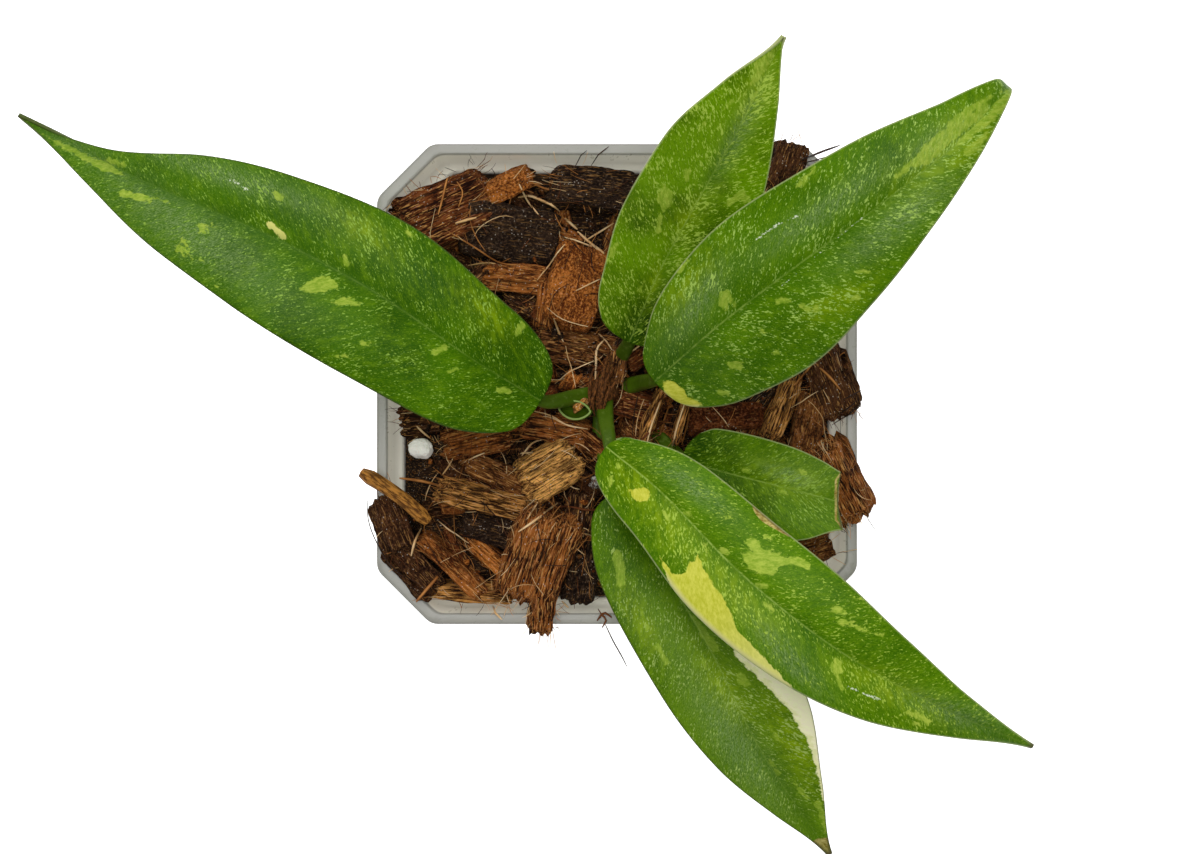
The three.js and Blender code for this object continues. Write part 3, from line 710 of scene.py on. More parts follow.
def make_boat_sheath(leaf_name, stalk_green, rim):
    """The thin green shell, open at the top."""
    turn = Matrix.Rotation(math.radians(BOAT["yaw"]), 3, "Z")
    turn = turn @ Matrix.Rotation(math.radians(BOAT["pitch"]), 3, "Y")

    def cup(around, up):
        """A hollow half shell that is pointed at both ends."""
        a, b = math.tau * around, BOAT_OPENING * up
        pinch = abs(math.sin(a)) ** BOAT_PINCH
        ball = (math.sin(b) * math.cos(a), math.sin(b) * math.sin(a) * pinch, -math.cos(b))
        return turn @ Vector([c * size / 2 for c, size in zip(ball, BOAT["size"])]) + Vector(BOAT["centre"])

    bm = bmesh.new()
    verts = formed_grid(bm, 48, 24, cup)
    bmesh.ops.remove_doubles(bm, verts=verts, dist=MERGE_GAP)
    bmesh.ops.recalc_face_normals(bm, faces=bm.faces)
    sheath = piece_of(bm, leaf_name + "_sheath", [stalk_green, rim], "leaf_green", leaf_name)
    solid = sheath.modifiers.new("thickness", "SOLIDIFY")
    solid.thickness = BOAT_WALL * MM
    solid.offset = -1.0
    solid.material_offset_rim = 1


# What differs from leaf to leaf: its two greens, the colour and density of its specks, how strongly
# the midrib and the lime patches show, the colour of its margin and the seed of its patterns
Skin = namedtuple("Skin", "dark mid speck density line patch edge seed")
PALE_EDGE = rgb(176, 186, 128)
DARK_EDGE = rgb(70, 84, 36)
SKINS = {
    "leaf_west": Skin(rgb(44, 84, 0), rgb(66, 110, 0), rgb(154, 190, 76), 0.44, 0.2, 0.75, DARK_EDGE, 1.0),
    "leaf_north": Skin(rgb(34, 64, 0), rgb(102, 146, 0), rgb(176, 204, 80), 0.80, 0.4, 0.6, PALE_EDGE, 2.0),
    "leaf_northeast": Skin(
        rgb(54, 96, 0), rgb(76, 120, 0), rgb(172, 204, 96), 0.56, 0.5, 0.6, PALE_EDGE, 3.0
    ),
    "leaf_southeast": Skin(
        rgb(60, 104, 0), rgb(82, 126, 0), rgb(176, 204, 76), 0.48, 0.9, 0.9, PALE_EDGE, 4.0
    ),
    "leaf_south": Skin(rgb(54, 92, 0), rgb(88, 124, 12), rgb(164, 188, 96), 0.54, 0.4, 0.45, DARK_EDGE, 5.0),
    "leaf_cut": Skin(rgb(34, 66, 0), rgb(76, 114, 0), rgb(146, 178, 70), 0.42, 0.4, 0.6, PALE_EDGE, 6.0),
}
VEIN_ANGLE = math.radians(36)
VEIN_PACE = 0.24
MIDRIB_SEAM = 0.1
SIDE_SHIFT = 5.0


def side_shift(f, across):
    """A shift that is another one on each side of the midrib, so that the two patterns differ."""
    return f.ease(across, -MIDRIB_SEAM, MIDRIB_SEAM, -SIDE_SHIFT, SIDE_SHIFT)


def side_veins(f, along, out):
    """Waves that run from the midrib to the margin as the side veins do."""
    place = f.vector(along * VEIN_PACE - out * VEIN_PACE, 0.0, 0.0)
    sockets = {"Vector": place, "Scale": 1.0, "Distortion": 0.6, "Detail": 1.0}
    return f.node("TexWave", {"bands_direction": "X"}, sockets, output="Fac")


class BladeTop(Finish):
    """Green with specks along the veins, pale patches, a painted silvery sheen, painted glints and a sunken
    midrib with painted shade along it.
    """

    def __init__(self, name):
        super().__init__(name + "_top", Specular_IOR_Level=0.055)
        self.skin = SKINS[name]
        self.along, self.across, self.margin = self.split(self.attribute("plan"))
        self.lime, self.yellow, self.cream = self.split(self.attribute("marks"))
        self.dry, self.haze, self.onward = self.split(self.attribute("wear"))
        self.bloom, self.glint, _ = self.split(self.attribute("shine"))
        self.out = abs(self.across)
        self.flat = self.vector(self.along, self.across, self.skin.seed)
        with_veins = self.along * math.cos(VEIN_ANGLE) + self.out * math.sin(VEIN_ANGLE)
        over_veins = self.out * math.cos(VEIN_ANGLE) - self.along * math.sin(VEIN_ANGLE)
        side = side_shift(self, self.across)
        self.flow = self.vector(with_veins * 0.42, over_veins, side + self.skin.seed)
        self.streak = self.vector(with_veins * 0.26, over_veins, side + self.skin.seed + 1.0)
        self.mottle = self.noise(self.flow, 1.1, 4.0, 0.65)
        self.tissue = self.noise(self.flow, 6.5, 4.0, 0.7)

    def flesh(self):
        """The green itself, darker towards the base as painted shade, and yellower in the hazes."""
        broad = self.noise(self.flat, 0.10, 3.0)
        # onward lightens the green from base to tip: painted shade towards the base, near the stem and the
        # soil
        colour = self.mix(self.ease(broad + self.onward * 0.35, 0.42, 0.82), self.skin.dark, self.skin.mid)
        colour = self.mix(self.ease(self.mottle, 0.42, 0.8) * 0.6, colour, rgb(110, 148, 10))
        colour = self.mix(self.ease(self.tissue, 0.52, 0.66) * 0.4, colour, rgb(138, 168, 36))
        colour = self.mix((1.0 - self.ease(self.tissue, 0.34, 0.47)) * 0.55, colour, rgb(34, 68, 0))
        yellowish = self.mix(self.noise(self.flow, 0.9, 2.0), rgb(116, 150, 4), rgb(146, 170, 18))
        return self.mix(self.haze * self.ease(self.mottle, 0.36, 0.62, 0.2, 0.75), colour, yellowish)

    def bloomed(self, colour):
        """A painted silvery sheen: the reflection of the light, laid into the green."""
        painted_sheen_colour = self.mix(self.ease(self.tissue, 0.38, 0.62), rgb(76, 110, 44), rgb(134, 160, 98))
        misty = self.ease(self.noise(self.flow, 2.4, 5.0, 0.7), 0.34, 0.62, 0.2, 0.8)
        return self.mix(self.bloom * misty, colour, painted_sheen_colour)

    def specked(self, colour):
        """Fine specks and longer flecks, more of them where they crowd."""
        crowd = self.noise(self.vector(self.along, self.across, self.skin.seed + 3.0), 0.24, 2.0)
        start = 0.774 - self.skin.density * 0.10 - (crowd * 0.24 + self.haze * 0.05)
        fine = self.noise(self.flow, 4.2, 3.0, 0.55)
        colour = self.mix(self.ease(fine - start, 0.0, 0.05) * 0.75, colour, self.skin.speck)
        flecks = self.ease(self.noise(self.streak, 2.3, 4.0, 0.64) - start, 0.055, 0.08)
        return self.mix(flecks * 0.8, colour, self.skin.speck)

    def patched(self, colour, torn, streaky):
        """The lime, yellow and cream patches, torn along the veins at their edges."""
        lime = self.ease(self.lime + torn, -0.9, 0.9)
        shade = self.mix(self.ease(streaky, 0.35, 0.65), rgb(138, 170, 44), rgb(182, 202, 76))
        colour = self.mix(lime * self.skin.patch, colour, shade)
        yellow = self.ease(self.yellow + torn * 0.7, -0.6, 0.6)
        shade = self.mix(self.ease(streaky, 0.3, 0.7), rgb(186, 190, 50), rgb(216, 216, 88))
        shade = self.mix(self.ease(self.onward, 0.34, 0.56) * 0.6, shade, rgb(228, 224, 148))
        shade = self.mix(1.0 - self.ease(self.margin, 0.2, 0.9), shade, rgb(206, 204, 132))
        colour = self.mix(yellow, colour, shade)
        cream = self.ease(self.cream + torn * 0.8, -0.8, 0.8)
        shade = self.mix(self.ease(streaky, 0.3, 0.7), rgb(255, 246, 214), rgb(255, 254, 208))
        fringe = 1.0 - self.ease(self.cream + torn * 2.0, 1.0, 6.0)
        shade = self.mix(fringe * 0.5, shade, rgb(222, 226, 138))
        return self.mix(cream, colour, shade)

    def dried(self, colour, dry, streaky):
        """The dead brown tissue."""
        shade = self.mix(self.ease(streaky, 0.35, 0.65), rgb(134, 112, 46), rgb(208, 192, 118))
        shade = self.mix(1.0 - self.ease(self.margin, 0.1, 0.5), shade, rgb(104, 84, 42))
        return self.mix(dry, colour, shade)

    def lined(self, colour):
        """Painted shade along the crease of the midrib, the pale broken line of the midrib, the margin, the
        tip and the glints, painted as highlights.
        """
        # painted shade along the crease of the sunken midrib
        painted_crease_shade = 1.0 - self.ease(self.out, 0.2, 1.6)
        colour = self.mix(painted_crease_shade * 0.34 * (1.0 - self.haze), colour, rgb(44, 86, 0))
        broken = self.ease(self.noise(self.flat, 0.6, 4.0, 0.7), 0.42, 0.56, 0.25, 1.0)
        fading = 1.0 - self.ease(self.along, 14.0, 60.0, 0.2, 0.9)
        line = (1.0 - self.ease(self.out, 0.07, 0.2)) * fading * broken
        colour = self.mix(line * self.skin.line, colour, rgb(160, 186, 84))
        edge = 1.0 - self.ease(self.margin, 0.08, 0.26)
        colour = self.mix(edge * 0.6, colour, self.skin.edge)
        colour = self.mix(self.ease(self.onward, 0.982, 0.998) * 0.85, colour, rgb(84, 78, 52))
        # painted highlights along the glint streaks, broken up
        glint_breakup = self.noise(self.flat, 3.2, 3.0, 0.7) * 8.0
        painted_glint = self.ease(self.glint + glint_breakup - 4.4, 0.0, 0.8)
        return self.mix(painted_glint * 0.85, colour, rgb(228, 238, 206))


def blade_top(name):
    f = BladeTop(name)
    torn = f.noise(f.flow, 1.5, 5.0, 0.72) * 11.0 + f.noise(f.flat, 0.55, 3.0, 0.6) * 9.0 - 10.0
    streaky = f.noise(f.flow, 2.6, 4.0, 0.7)
    dry = f.ease(f.dry + torn * 0.15, -0.4, 0.6)
    colour = f.patched(f.specked(f.bloomed(f.flesh())), torn, streaky)
    colour = f.lined(f.dried(colour, dry, streaky))
    pores = f.noise(f.vector(f.along, f.across, 0.0), 4.2, 3.0, 0.6)
    height = side_veins(f, f.along, f.out) * 0.04 + pores * 0.04 + f.mottle * 0.04 + f.tissue * 0.03
    f.feed(Base_Color=colour, Roughness=0.30 + pores * 0.16 + dry * 0.3)
    f.feed(Normal=f.bump(height, 0.6, 0.6))
    return f.material


def blade_under():
    """The paler, matter underside."""
    f = Finish("blade_under", Roughness=0.5)
    along, across, _ = f.split(f.attribute("plan"))
    out = abs(across)
    veins = side_veins(f, along, out)
    flow = f.vector(along * 0.4 + out * 0.3, out - along * 0.6, side_shift(f, across))
    specks = f.ease(f.noise(flow, 1.6, 3.0, 0.6), 0.58, 0.66)
    colour = f.mix(f.noise(flow, 0.3, 3.0), rgb(96, 128, 52), rgb(122, 152, 74))
    colour = f.mix(specks * 0.5, colour, rgb(170, 190, 110))
    colour = f.mix(f.ease(veins, 0.8, 1.0) * 0.3, colour, rgb(150, 172, 100))
    f.feed(Base_Color=colour, Normal=f.bump(veins * 0.15, 0.6, 0.5))
    return f.material


def blade_rim(name, dark, light):
    """The thin edge between the two faces of a blade."""
    f = Finish(name, Roughness=0.5, Specular_IOR_Level=0.2)
    along, across, _ = f.split(f.attribute("plan"))
    shade = f.noise(f.vector(along, across, 0.0), 0.5, 3.0)
    f.feed(Base_Color=f.mix(shade, dark, light))
    return f.material


def stalk_finish():
    f = Finish("stalk_green", Roughness=0.38, Specular_IOR_Level=0.2)
    place = f.place()
    fine = f.noise(place, 0.9, 4.0, 0.6)
    colour = f.mix(f.noise(place, 0.15, 2.0), rgb(48, 76, 6), rgb(86, 114, 18))
    colour = f.mix(f.ease(fine, 0.56, 0.66) * 0.4, colour, rgb(122, 144, 66))
    f.feed(Base_Color=colour, Normal=f.bump(fine, 0.2, 0.4))
    return f.material


# Pot

# LEDGE is the rim's width, and THROAT_STEP how far the wall steps in below the collar
RIM_SIDE = 71.0
RIM_CHAMFER = 8.0
COLLAR_HEIGHT = 9.0
COLLAR_FLARE = 1.0
BODY_SIDE = 67.0
BASE_SIDE = 50.0
BASE_CHAMFER = 6.0
WALL = 1.2
LEDGE = 1.6
THROAT_STEP = 1.4
INNER_CHAMFER = 7.4
INNER_DRAFT = 0.6
CORNER_REACH = 1.1
CORNER_STEPS = 5
EDGE_ROUNDING = 0.3
FLOOR = 1.6
DRAIN_RADIUS = 2.6
DRAIN_REACH = 16.0
GAP = 0.3


def cut_square(side, chamfer, z):
    """A square outline whose corners are cut off at 45 degrees, with each new corner rounded."""
    a = side / 2
    b = a - chamfer
    flat = ((a, -b), (a, b), (b, a), (-b, a), (-a, b), (-a, -b), (-b, -a), (b, -a))
    corners = [Vector((x, y, z)) for x, y in flat]
    outline = []
    for before, corner, after in zip(corners[-1:] + corners[:-1], corners, corners[1:] + corners[:1]):
        start = corner + (before - corner).normalized() * CORNER_REACH
        end = corner + (after - corner).normalized() * CORNER_REACH
        for k in range(CORNER_STEPS + 1):
            w = k / CORNER_STEPS
            outline.append(start * (1 - w) ** 2 + corner * (2 * w * (1 - w)) + end * w**2)
    return outline


def pot_rings():
    """The pot's profile, from the outside of the foot over the rim to the inside of the floor."""
    mouth = RIM_SIDE - 2 * LEDGE
    throat = mouth - 2 * THROAT_STEP
    step = WALL - COLLAR_HEIGHT
    soft = EDGE_ROUNDING
    return [
        cut_square(BASE_SIDE, BASE_CHAMFER, -POT_HEIGHT),
        cut_square(BODY_SIDE, RIM_CHAMFER, -COLLAR_HEIGHT),
        cut_square(RIM_SIDE - COLLAR_FLARE, RIM_CHAMFER, -COLLAR_HEIGHT),
        cut_square(RIM_SIDE, RIM_CHAMFER, -soft),
        cut_square(RIM_SIDE - 0.6 * soft, RIM_CHAMFER, -0.3 * soft),
        cut_square(RIM_SIDE - 2 * soft, RIM_CHAMFER, 0),
        cut_square(mouth + 2 * soft, INNER_CHAMFER, 0),
        cut_square(mouth + 0.6 * soft, INNER_CHAMFER, -0.3 * soft),
        cut_square(mouth, INNER_CHAMFER, -soft),
        cut_square(mouth - INNER_DRAFT, INNER_CHAMFER, step + WALL / 2),
        cut_square(throat - INNER_DRAFT + 2 * soft, INNER_CHAMFER, step + soft / 2),
        cut_square(throat - INNER_DRAFT, INNER_CHAMFER, step - soft),
        cut_square(BASE_SIDE - 2 * WALL, BASE_CHAMFER, FLOOR - POT_HEIGHT),
    ]


def make_pot(plastic):
    """The profile's rings, joined, with a floor and an underside around the drain holes."""
    bm = bmesh.new()
    rings = pot_rings()
    ring = bmesh.ops.create_circle(bm, segments=len(rings[0]), radius=1)["verts"]
    seat_ring(ring, rings[0])
    edges = low_outline = list(bm.edges)
    for corners in rings[1:]:
        made = bmesh.ops.extrude_edge_only(bm, edges=edges)["geom"]
        seat_ring([e for e in made if isinstance(e, bmesh.types.BMVert)], corners)
        edges = [e for e in made if isinstance(e, bmesh.types.BMEdge) and e.is_boundary]
    low_holes, high_holes = drain_holes(bm)
    bmesh.ops.triangle_fill(bm, use_beauty=True, edges=low_outline + low_holes)
    bmesh.ops.triangle_fill(bm, use_beauty=True, edges=edges + high_holes)
    bmesh.ops.recalc_face_normals(bm, faces=bm.faces)
    bmesh.ops.triangulate(bm, faces=bm.faces)
    pot = piece_of(bm, "clear_pot", [plastic], "clear_pot", "pot")
    pot.modifiers.new("flat_faces", "WEIGHTED_NORMAL")


def seat_ring(verts, corners):
    """Moves a ring of points to the corners of an outline, in order of their angle."""
    def angle(point):
        return math.atan2(point[1], point[0]) % math.tau
    for v, corner in zip(sorted(verts, key=lambda v: angle(v.co)), sorted(corners, key=angle)):
        v.co = corner


def drain_holes(bm):
    """The walls of the four holes through the floor; returns their edges below and above."""
    low_edges, high_edges = [], []
    for quarter in range(4):
        angle = math.radians(45 + 90 * quarter)
        x, y = DRAIN_REACH * math.cos(angle), DRAIN_REACH * math.sin(angle)
        loops = []
        for z in (-POT_HEIGHT, FLOOR - POT_HEIGHT):
            place = Matrix.Translation((x, y, z))
            verts = bmesh.ops.create_circle(bm, segments=32, radius=DRAIN_RADIUS, matrix=place)["verts"]
            loops.append({e for v in verts for e in v.link_edges})
        low_edges += loops[0]
        high_edges += loops[1]
        bmesh.ops.bridge_loops(bm, edges=list(loops[0] | loops[1]))
    return low_edges, high_edges


def milky_plastic():
    """Thin clear plastic, clouded, with fine scuffs, whose inner wall glows with painted light: an emission
    that stands in for light coming through the plastic.
    """
    f = Finish("milky_plastic", IOR=1.45, Alpha=0.86, Emission_Strength=1.0)
    place = f.place()
    wide, deep, height = f.split(place)
    reach = f.node("Math", {"operation": "MAXIMUM"}, {0: abs(wide), 1: abs(deep)})
    mouth = RIM_SIDE / 2 - LEDGE
    within = 1.0 - f.ease(reach, mouth + 0.3, mouth + 0.7)
    corner = RIM_SIDE - RIM_CHAMFER - 1.2
    within = within * (1.0 - f.ease(abs(wide) + abs(deep), corner - 0.4, corner + 0.2))
    shoulder = POT_HEIGHT - COLLAR_HEIGHT
    shaft = f.ease(height, shoulder, shoulder + 0.8)
    shaft = shaft * (1.0 - f.ease(height, POT_HEIGHT - 0.6, POT_HEIGHT - 0.1))
    cloud = f.noise(place, 0.06, 3.0)
    scuff = f.noise(f.stretch(place, (1.0, 1.0, 0.15)), 1.2, 4.0, 0.7)
    rim = f.ease(height, POT_HEIGHT - 1.5, POT_HEIGHT - 0.2)
    wall = f.mix(cloud, rgb(214, 211, 197), rgb(230, 227, 214))
    colour = f.mix(rim, wall, f.mix(cloud, rgb(138, 137, 129), rgb(150, 149, 141)))
    # painted light: the inner wall below the mouth glows, standing in for light that comes through the
    # plastic
    painted_glow = f.mix(within * shaft, rgb(0, 0, 0), rgb(122, 119, 108))
    f.feed(Base_Color=colour, Roughness=0.2 + scuff * 0.2, Emission_Color=painted_glow)
    f.feed(Normal=f.bump(scuff, 0.15, 0.25))
    return f.material


# Mix

# A chip's middle and top, its size, its turn in degrees, its colour, its grain, which runs from 0,
# corky, to 1, stringy, and the number of hairs that stand off it
Chip = namedtuple("Chip", "x y top length width depth yaw pitch roll tint grain hairs")

RUST = rgb(180, 106, 46)
ORANGE = rgb(208, 124, 52)
TAN = rgb(255, 188, 100)
GOLD = rgb(224, 156, 78)
BROWN = rgb(142, 88, 42)
RED_BROWN = rgb(126, 66, 28)
UMBER = rgb(92, 56, 30)
SOOT = rgb(60, 42, 30)
CHALK = rgb(226, 224, 216)

# The chips that show on top, the first of them behind the plant
BACK_CHIPS = 19
CHIPS = [
    Chip(-25.3, 26.0, -0.5, 14, 9, 8, 25, 6, -12, RED_BROWN, 0.8, 90),
    Chip(-16.2, 29.1, 0.2, 6.5, 3.4, 7, 25, -10, 10, ORANGE, 0.3, 21),
    Chip(-3.4, 29.3, -0.4, 12, 6, 8, -5, 4, -8, SOOT, 0.3, 39),
    Chip(-15.8, 22.4, -1.2, 14.5, 8, 8, -8, 8, 5, SOOT, 0.2, 9),
    Chip(-15.0, 15.6, -2.0, 9.5, 4.4, 6, -6, -6, 8, RUST, 0.7, 9),
    Chip(-10.8, 12.1, -1.4, 7.6, 2.7, 6, 86, 4, -6, RUST, 0.7, 3),
    Chip(-5.9, 14.6, 1.2, 12, 7.8, 9, 75, 6, 6, ORANGE, 0.15, 15),
    Chip(-7.4, 5.6, -2.4, 9, 5, 6, -10, 4, 8, BROWN, 0.9, 39),
    Chip(-6.6, 0.7, -0.6, 2.8, 2.2, 6, 60, 12, 0, ORANGE, 0.4, 3),
    Chip(3.4, -3.6, -0.4, 7.2, 4.0, 7, -16, 6, 10, RED_BROWN, 0.6, 9),
    Chip(3.0, -7.6, -1.6, 5.2, 3.2, 6, -40, 0, -8, BROWN, 0.6, 9),
    Chip(3.4, 4.4, -0.4, 5.6, 4.4, 7, 30, -8, 8, RED_BROWN, 0.5, 12),
    Chip(16.4, -4.8, -1.2, 11.4, 4.0, 6, 5, 3, -6, RED_BROWN, 0.2, 6),
    Chip(24.8, -3.1, 0.2, 10.6, 2.8, 7, 68, 5, 8, GOLD, 1.0, 39),
    Chip(28.0, -6.6, 0.4, 9.6, 4.2, 8, 80, -5, -6, BROWN, 0.5, 12),
    Chip(31.0, 0.2, 1.4, 10.4, 5.6, 9, -70, 5, 10, UMBER, 0.6, 60),
    Chip(32.1, -15.0, 3.4, 11.4, 5.6, 10, -64, 6, 12, RUST, 1.0, 75),
    Chip(29.0, -24.0, -0.8, 6, 5, 8, 20, 8, -8, BROWN, 0.5, 15),
    Chip(24.9, 31.6, 3.4, 8.4, 5, 10, 70, 10, 6, UMBER, 0.5, 15),
    Chip(-28.8, -5.4, -2.2, 6.5, 4.7, 6, 5, 0, 10, UMBER, 0.8, 33),
    Chip(-20.7, -8.5, -0.6, 9.6, 4.6, 7, 12, 6, 10, RUST, 0.7, 18),
    Chip(-9.4, -7.0, 0.6, 9.4, 3.4, 7, -8, -4, 8, RUST, 0.8, 12),
    Chip(-3.8, -9.2, 0.2, 6.6, 3.0, 7, -38, 6, 8, RUST, 0.8, 12),
    Chip(-9.7, -12.9, 2.6, 8.4, 6.6, 9, 30, 4, 6, TAN, 0.8, 24),
    Chip(-17.7, -13.2, -0.8, 9.6, 3.6, 7, -25, -3, -8, BROWN, 0.7, 12),
    Chip(-19.4, -17.4, 0.6, 13.6, 3.8, 8, -13, 4, 6, GOLD, 1.0, 39),
    Chip(-18.8, -21.4, -1.6, 8.4, 4.4, 7, -16, 4, -4, SOOT, 0.2, 3),
    Chip(-24.2, -17.8, -2.2, 3.8, 3.0, 6, 0, 6, 0, RUST, 0.4, 3),
    Chip(-32.6, -20.6, 1.0, 8.6, 4.2, 9, -68, -4, -10, UMBER, 0.4, 9),
    Chip(-29.4, -27.2, 0.2, 8.4, 4.0, 9, -48, 4, -8, UMBER, 0.4, 9),
    Chip(-24.4, -27.3, 0.2, 12.6, 2.4, 8, -43, 5, 6, RUST, 0.6, 6),
    Chip(-19.0, -25.6, -1.4, 9, 2.8, 7, -40, -6, 6, ORANGE, 0.7, 12),
    Chip(-11.4, -26.0, 3.0, 13.4, 9.4, 11, 72, -5, 8, RUST, 0.9, 105),
    Chip(-10.8, -33.6, 2.4, 6.0, 3.4, 8, 86, -4, 4, RUST, 1.0, 36),
    Chip(-5.2, -27.8, -2.2, 9, 5, 6, 80, 4, 0, SOOT, 0.2, 15),
    Chip(-5.6, -19.4, -2.2, 6.8, 4.2, 6, 80, -8, 6, UMBER, 0.9, 45),
    Chip(-21.6, -31.4, -1.0, 11.4, 2.2, 8, -5, 2, 10, GOLD, 0.9, 33),
    Chip(-0.2, 2.4, 1.6, 5.4, 2.6, 6, 78, 4, -6, BROWN, 0.9, 24),
    Chip(5.2, -5.3, 1.6, 8.4, 1.3, 4, 68, 3, 8, GOLD, 1.0, 12),
    Chip(9.5, -5.4, 1.2, 6.4, 0.9, 4, 72, -3, 4, GOLD, 1.0, 9),
    Chip(6.6, 2.0, -1.8, 4.4, 2.4, 5, -20, 4, 6, UMBER, 0.6, 6),
    Chip(-5.4, -3.2, 3.5, 1.8, 1.1, 1.4, 40, 0, 0, GOLD, 0.5, 3),
    Chip(-2.6, -14.4, -0.8, 2.4, 1.8, 2, 8, 0, 0, CHALK, 0.0, 0),
]

FILL_TOP = -5.4
EDGE_SLOPE = 5.0
BED_CELLS = 90
BED_LAYERS = 14
BED_SHOULDER = 1.0
BED_CORNER = 1.78
# The fill under the chips is near black: painted shade in the gaps between the chips
BED_PAINTED_SHADE = rgb(52, 34, 22)
BLOCK_POWER = 9.0
END_POWER = 6
LARGE_CHIP = 30
FILLER_SPREAD = 62
FILLER_PITCH = 4.3
FILLER_REACH = 28.0
FILLER_CORNER = 49
FILLER_DEPTH = 4.0
# Where chips and fibres pass the mouth of the pot, they lie this high over the rim, this thick
RIM_CLEARANCE = 0.25
OVERHANG_THICKNESS = 0.9


def past_mouth(x, y):
    """Whether a point lies past the inside of the pot's mouth, over the rim."""
    half = RIM_SIDE / 2 - LEDGE - GAP
    return max(abs(x), abs(y), abs(x) + abs(y) + INNER_CHAMFER - half) > half


class MixMesh:
    """Chips gathered into one mesh, with what their finish reads."""

    def __init__(self):
        self.bm = bmesh.new()
        self.tint = self.bm.verts.layers.float_color.new("tint")
        self.fibre = self.bm.verts.layers.float_vector.new("fibre")

    def add_chip(self, chip, fineness):
        """An irregular block whose surface is torn along its fibres."""
        seed = Vector((random.uniform(0, 90), random.uniform(0, 90), random.uniform(0, 90)))
        ball = bmesh.ops.create_icosphere(self.bm, subdivisions=fineness, radius=1)["verts"]
        place = chip_matrix(chip)
        size = Vector((chip.length, chip.width, chip.depth)) / 2
        for v in ball:
            d = v.co.normalized()
            block = d / sum(abs(c) ** BLOCK_POWER for c in d) ** (1 / BLOCK_POWER)
            lumps = 1 + 0.12 * noise.noise(d * 1.3 + seed)
            p = Vector((block.x * size.x * lumps, block.y * size.y * lumps, (block.z - 1) * size.z))
            torn = noise.noise(Vector((p.x * 0.2, p.y * 1.6, p.z * 1.6)) + seed)
            ragged = noise.noise(Vector((0, p.y * 1.1, p.z * 1.1)) + seed)
            p.x += math.copysign(abs(block.x) ** END_POWER, block.x) * (0.5 + chip.grain) * ragged
            relief = (0.25 + 0.3 * chip.grain) * torn + 0.3 * noise.noise(p * 0.45 + seed)
            grit = 0.22 * (1 - chip.grain) * noise.noise(p * 1.9 + seed)
            p += d * (relief + grit)
            v[self.fibre] = p + seed
            v[self.tint] = chip.tint[:3] + (chip.grain,)
            v.co = place @ p
            if past_mouth(v.co.x, v.co.y):
                share = (v.co.z - chip.top) / chip.depth + 1
                v.co.z = RIM_CLEARANCE + share * max(OVERHANG_THICKNESS, chip.top - RIM_CLEARANCE)

    def finish(self, name, material):
        tree = BVHTree.FromBMesh(self.bm)
        piece_of(self.bm, name, [material], "husk_mix", "potting_mix")
        return tree


def chip_matrix(chip):
    """Where a chip lies, with the middle of its top as its own middle."""
    turn = Matrix.Rotation(math.radians(chip.yaw), 4, "Z")
    turn = turn @ Matrix.Rotation(math.radians(chip.pitch), 4, "Y")
    turn = turn @ Matrix.Rotation(math.radians(chip.roll), 4, "X")
    return Matrix.Translation((chip.x, chip.y, chip.top)) @ turn


def fill_outline(x, y, side, chamfer):
    """Moves a point of a square of half-width 1 into a square with its corners cut off."""
    a = side / 2
    px, py = x * a, y * a
    limit = 2 * a - chamfer
    reach = abs(px) + abs(py)
    if reach > limit:
        px, py = px * limit / reach, py * limit / reach
    return px, py


def make_bed(material):
    """The body of the fill: a lumpy top, lower along the wall, and the sides seen through the pot."""
    mix = MixMesh()
    step = WALL - COLLAR_HEIGHT
    throat = RIM_SIDE - 2 * LEDGE - 2 * THROAT_STEP - INNER_DRAFT - 2 * GAP
    lumps = Vector((3.1, 7.7, 1.3))
    verts = bmesh.ops.create_grid(mix.bm, x_segments=BED_CELLS, y_segments=BED_CELLS, size=1.0)["verts"]
    edges = [e for e in mix.bm.edges if e.is_boundary]
    for v in verts:
        from_wall = (1 - max(abs(v.co.x), abs(v.co.y))) * throat / 2
        x, y = fill_outline(v.co.x, v.co.y, throat, INNER_CHAMFER)
        place = Vector((x, y, 0.0))
        rise = 1.3 * noise.noise(place * 0.28 + lumps) + 0.8 * noise.noise(place * 0.9 + lumps)
        high = FILL_TOP + rise + 0.4 * noise.noise(place * 2.2)
        low = step - GAP - 0.3
        share = min(1.0, from_wall / EDGE_SLOPE)
        v.co = (x, y, low + (high - low) * share * (2 - share))
    shoulder = step - BED_SHOULDER
    low = FLOOR - POT_HEIGHT + GAP
    base = BASE_SIDE - 2 * WALL - 2 * GAP
    for k in range(1, BED_LAYERS + 1):
        share = k / BED_LAYERS
        side = throat + (base - throat) * share
        z = shoulder + (low - shoulder) * share
        made = bmesh.ops.extrude_edge_only(mix.bm, edges=edges)["geom"]
        edges = [e for e in made if isinstance(e, bmesh.types.BMEdge) and e.is_boundary]
        for v in (e for e in made if isinstance(e, bmesh.types.BMVert)):
            flat = max(abs(v.co.x), abs(v.co.y), (abs(v.co.x) + abs(v.co.y)) / BED_CORNER)
            v.co.x *= side / 2 / flat
            v.co.y *= side / 2 / flat
            v.co.z = z
    bmesh.ops.holes_fill(mix.bm, edges=edges, sides=len(edges))
    bmesh.ops.recalc_face_normals(mix.bm, faces=mix.bm.faces)
    for v in mix.bm.verts:
        v[mix.fibre] = v.co
        # the bed's near-black tint is painted shade in the gaps
        v[mix.tint] = BED_PAINTED_SHADE[:3] + (0.4,)
    return mix.finish("mix_bed", material)


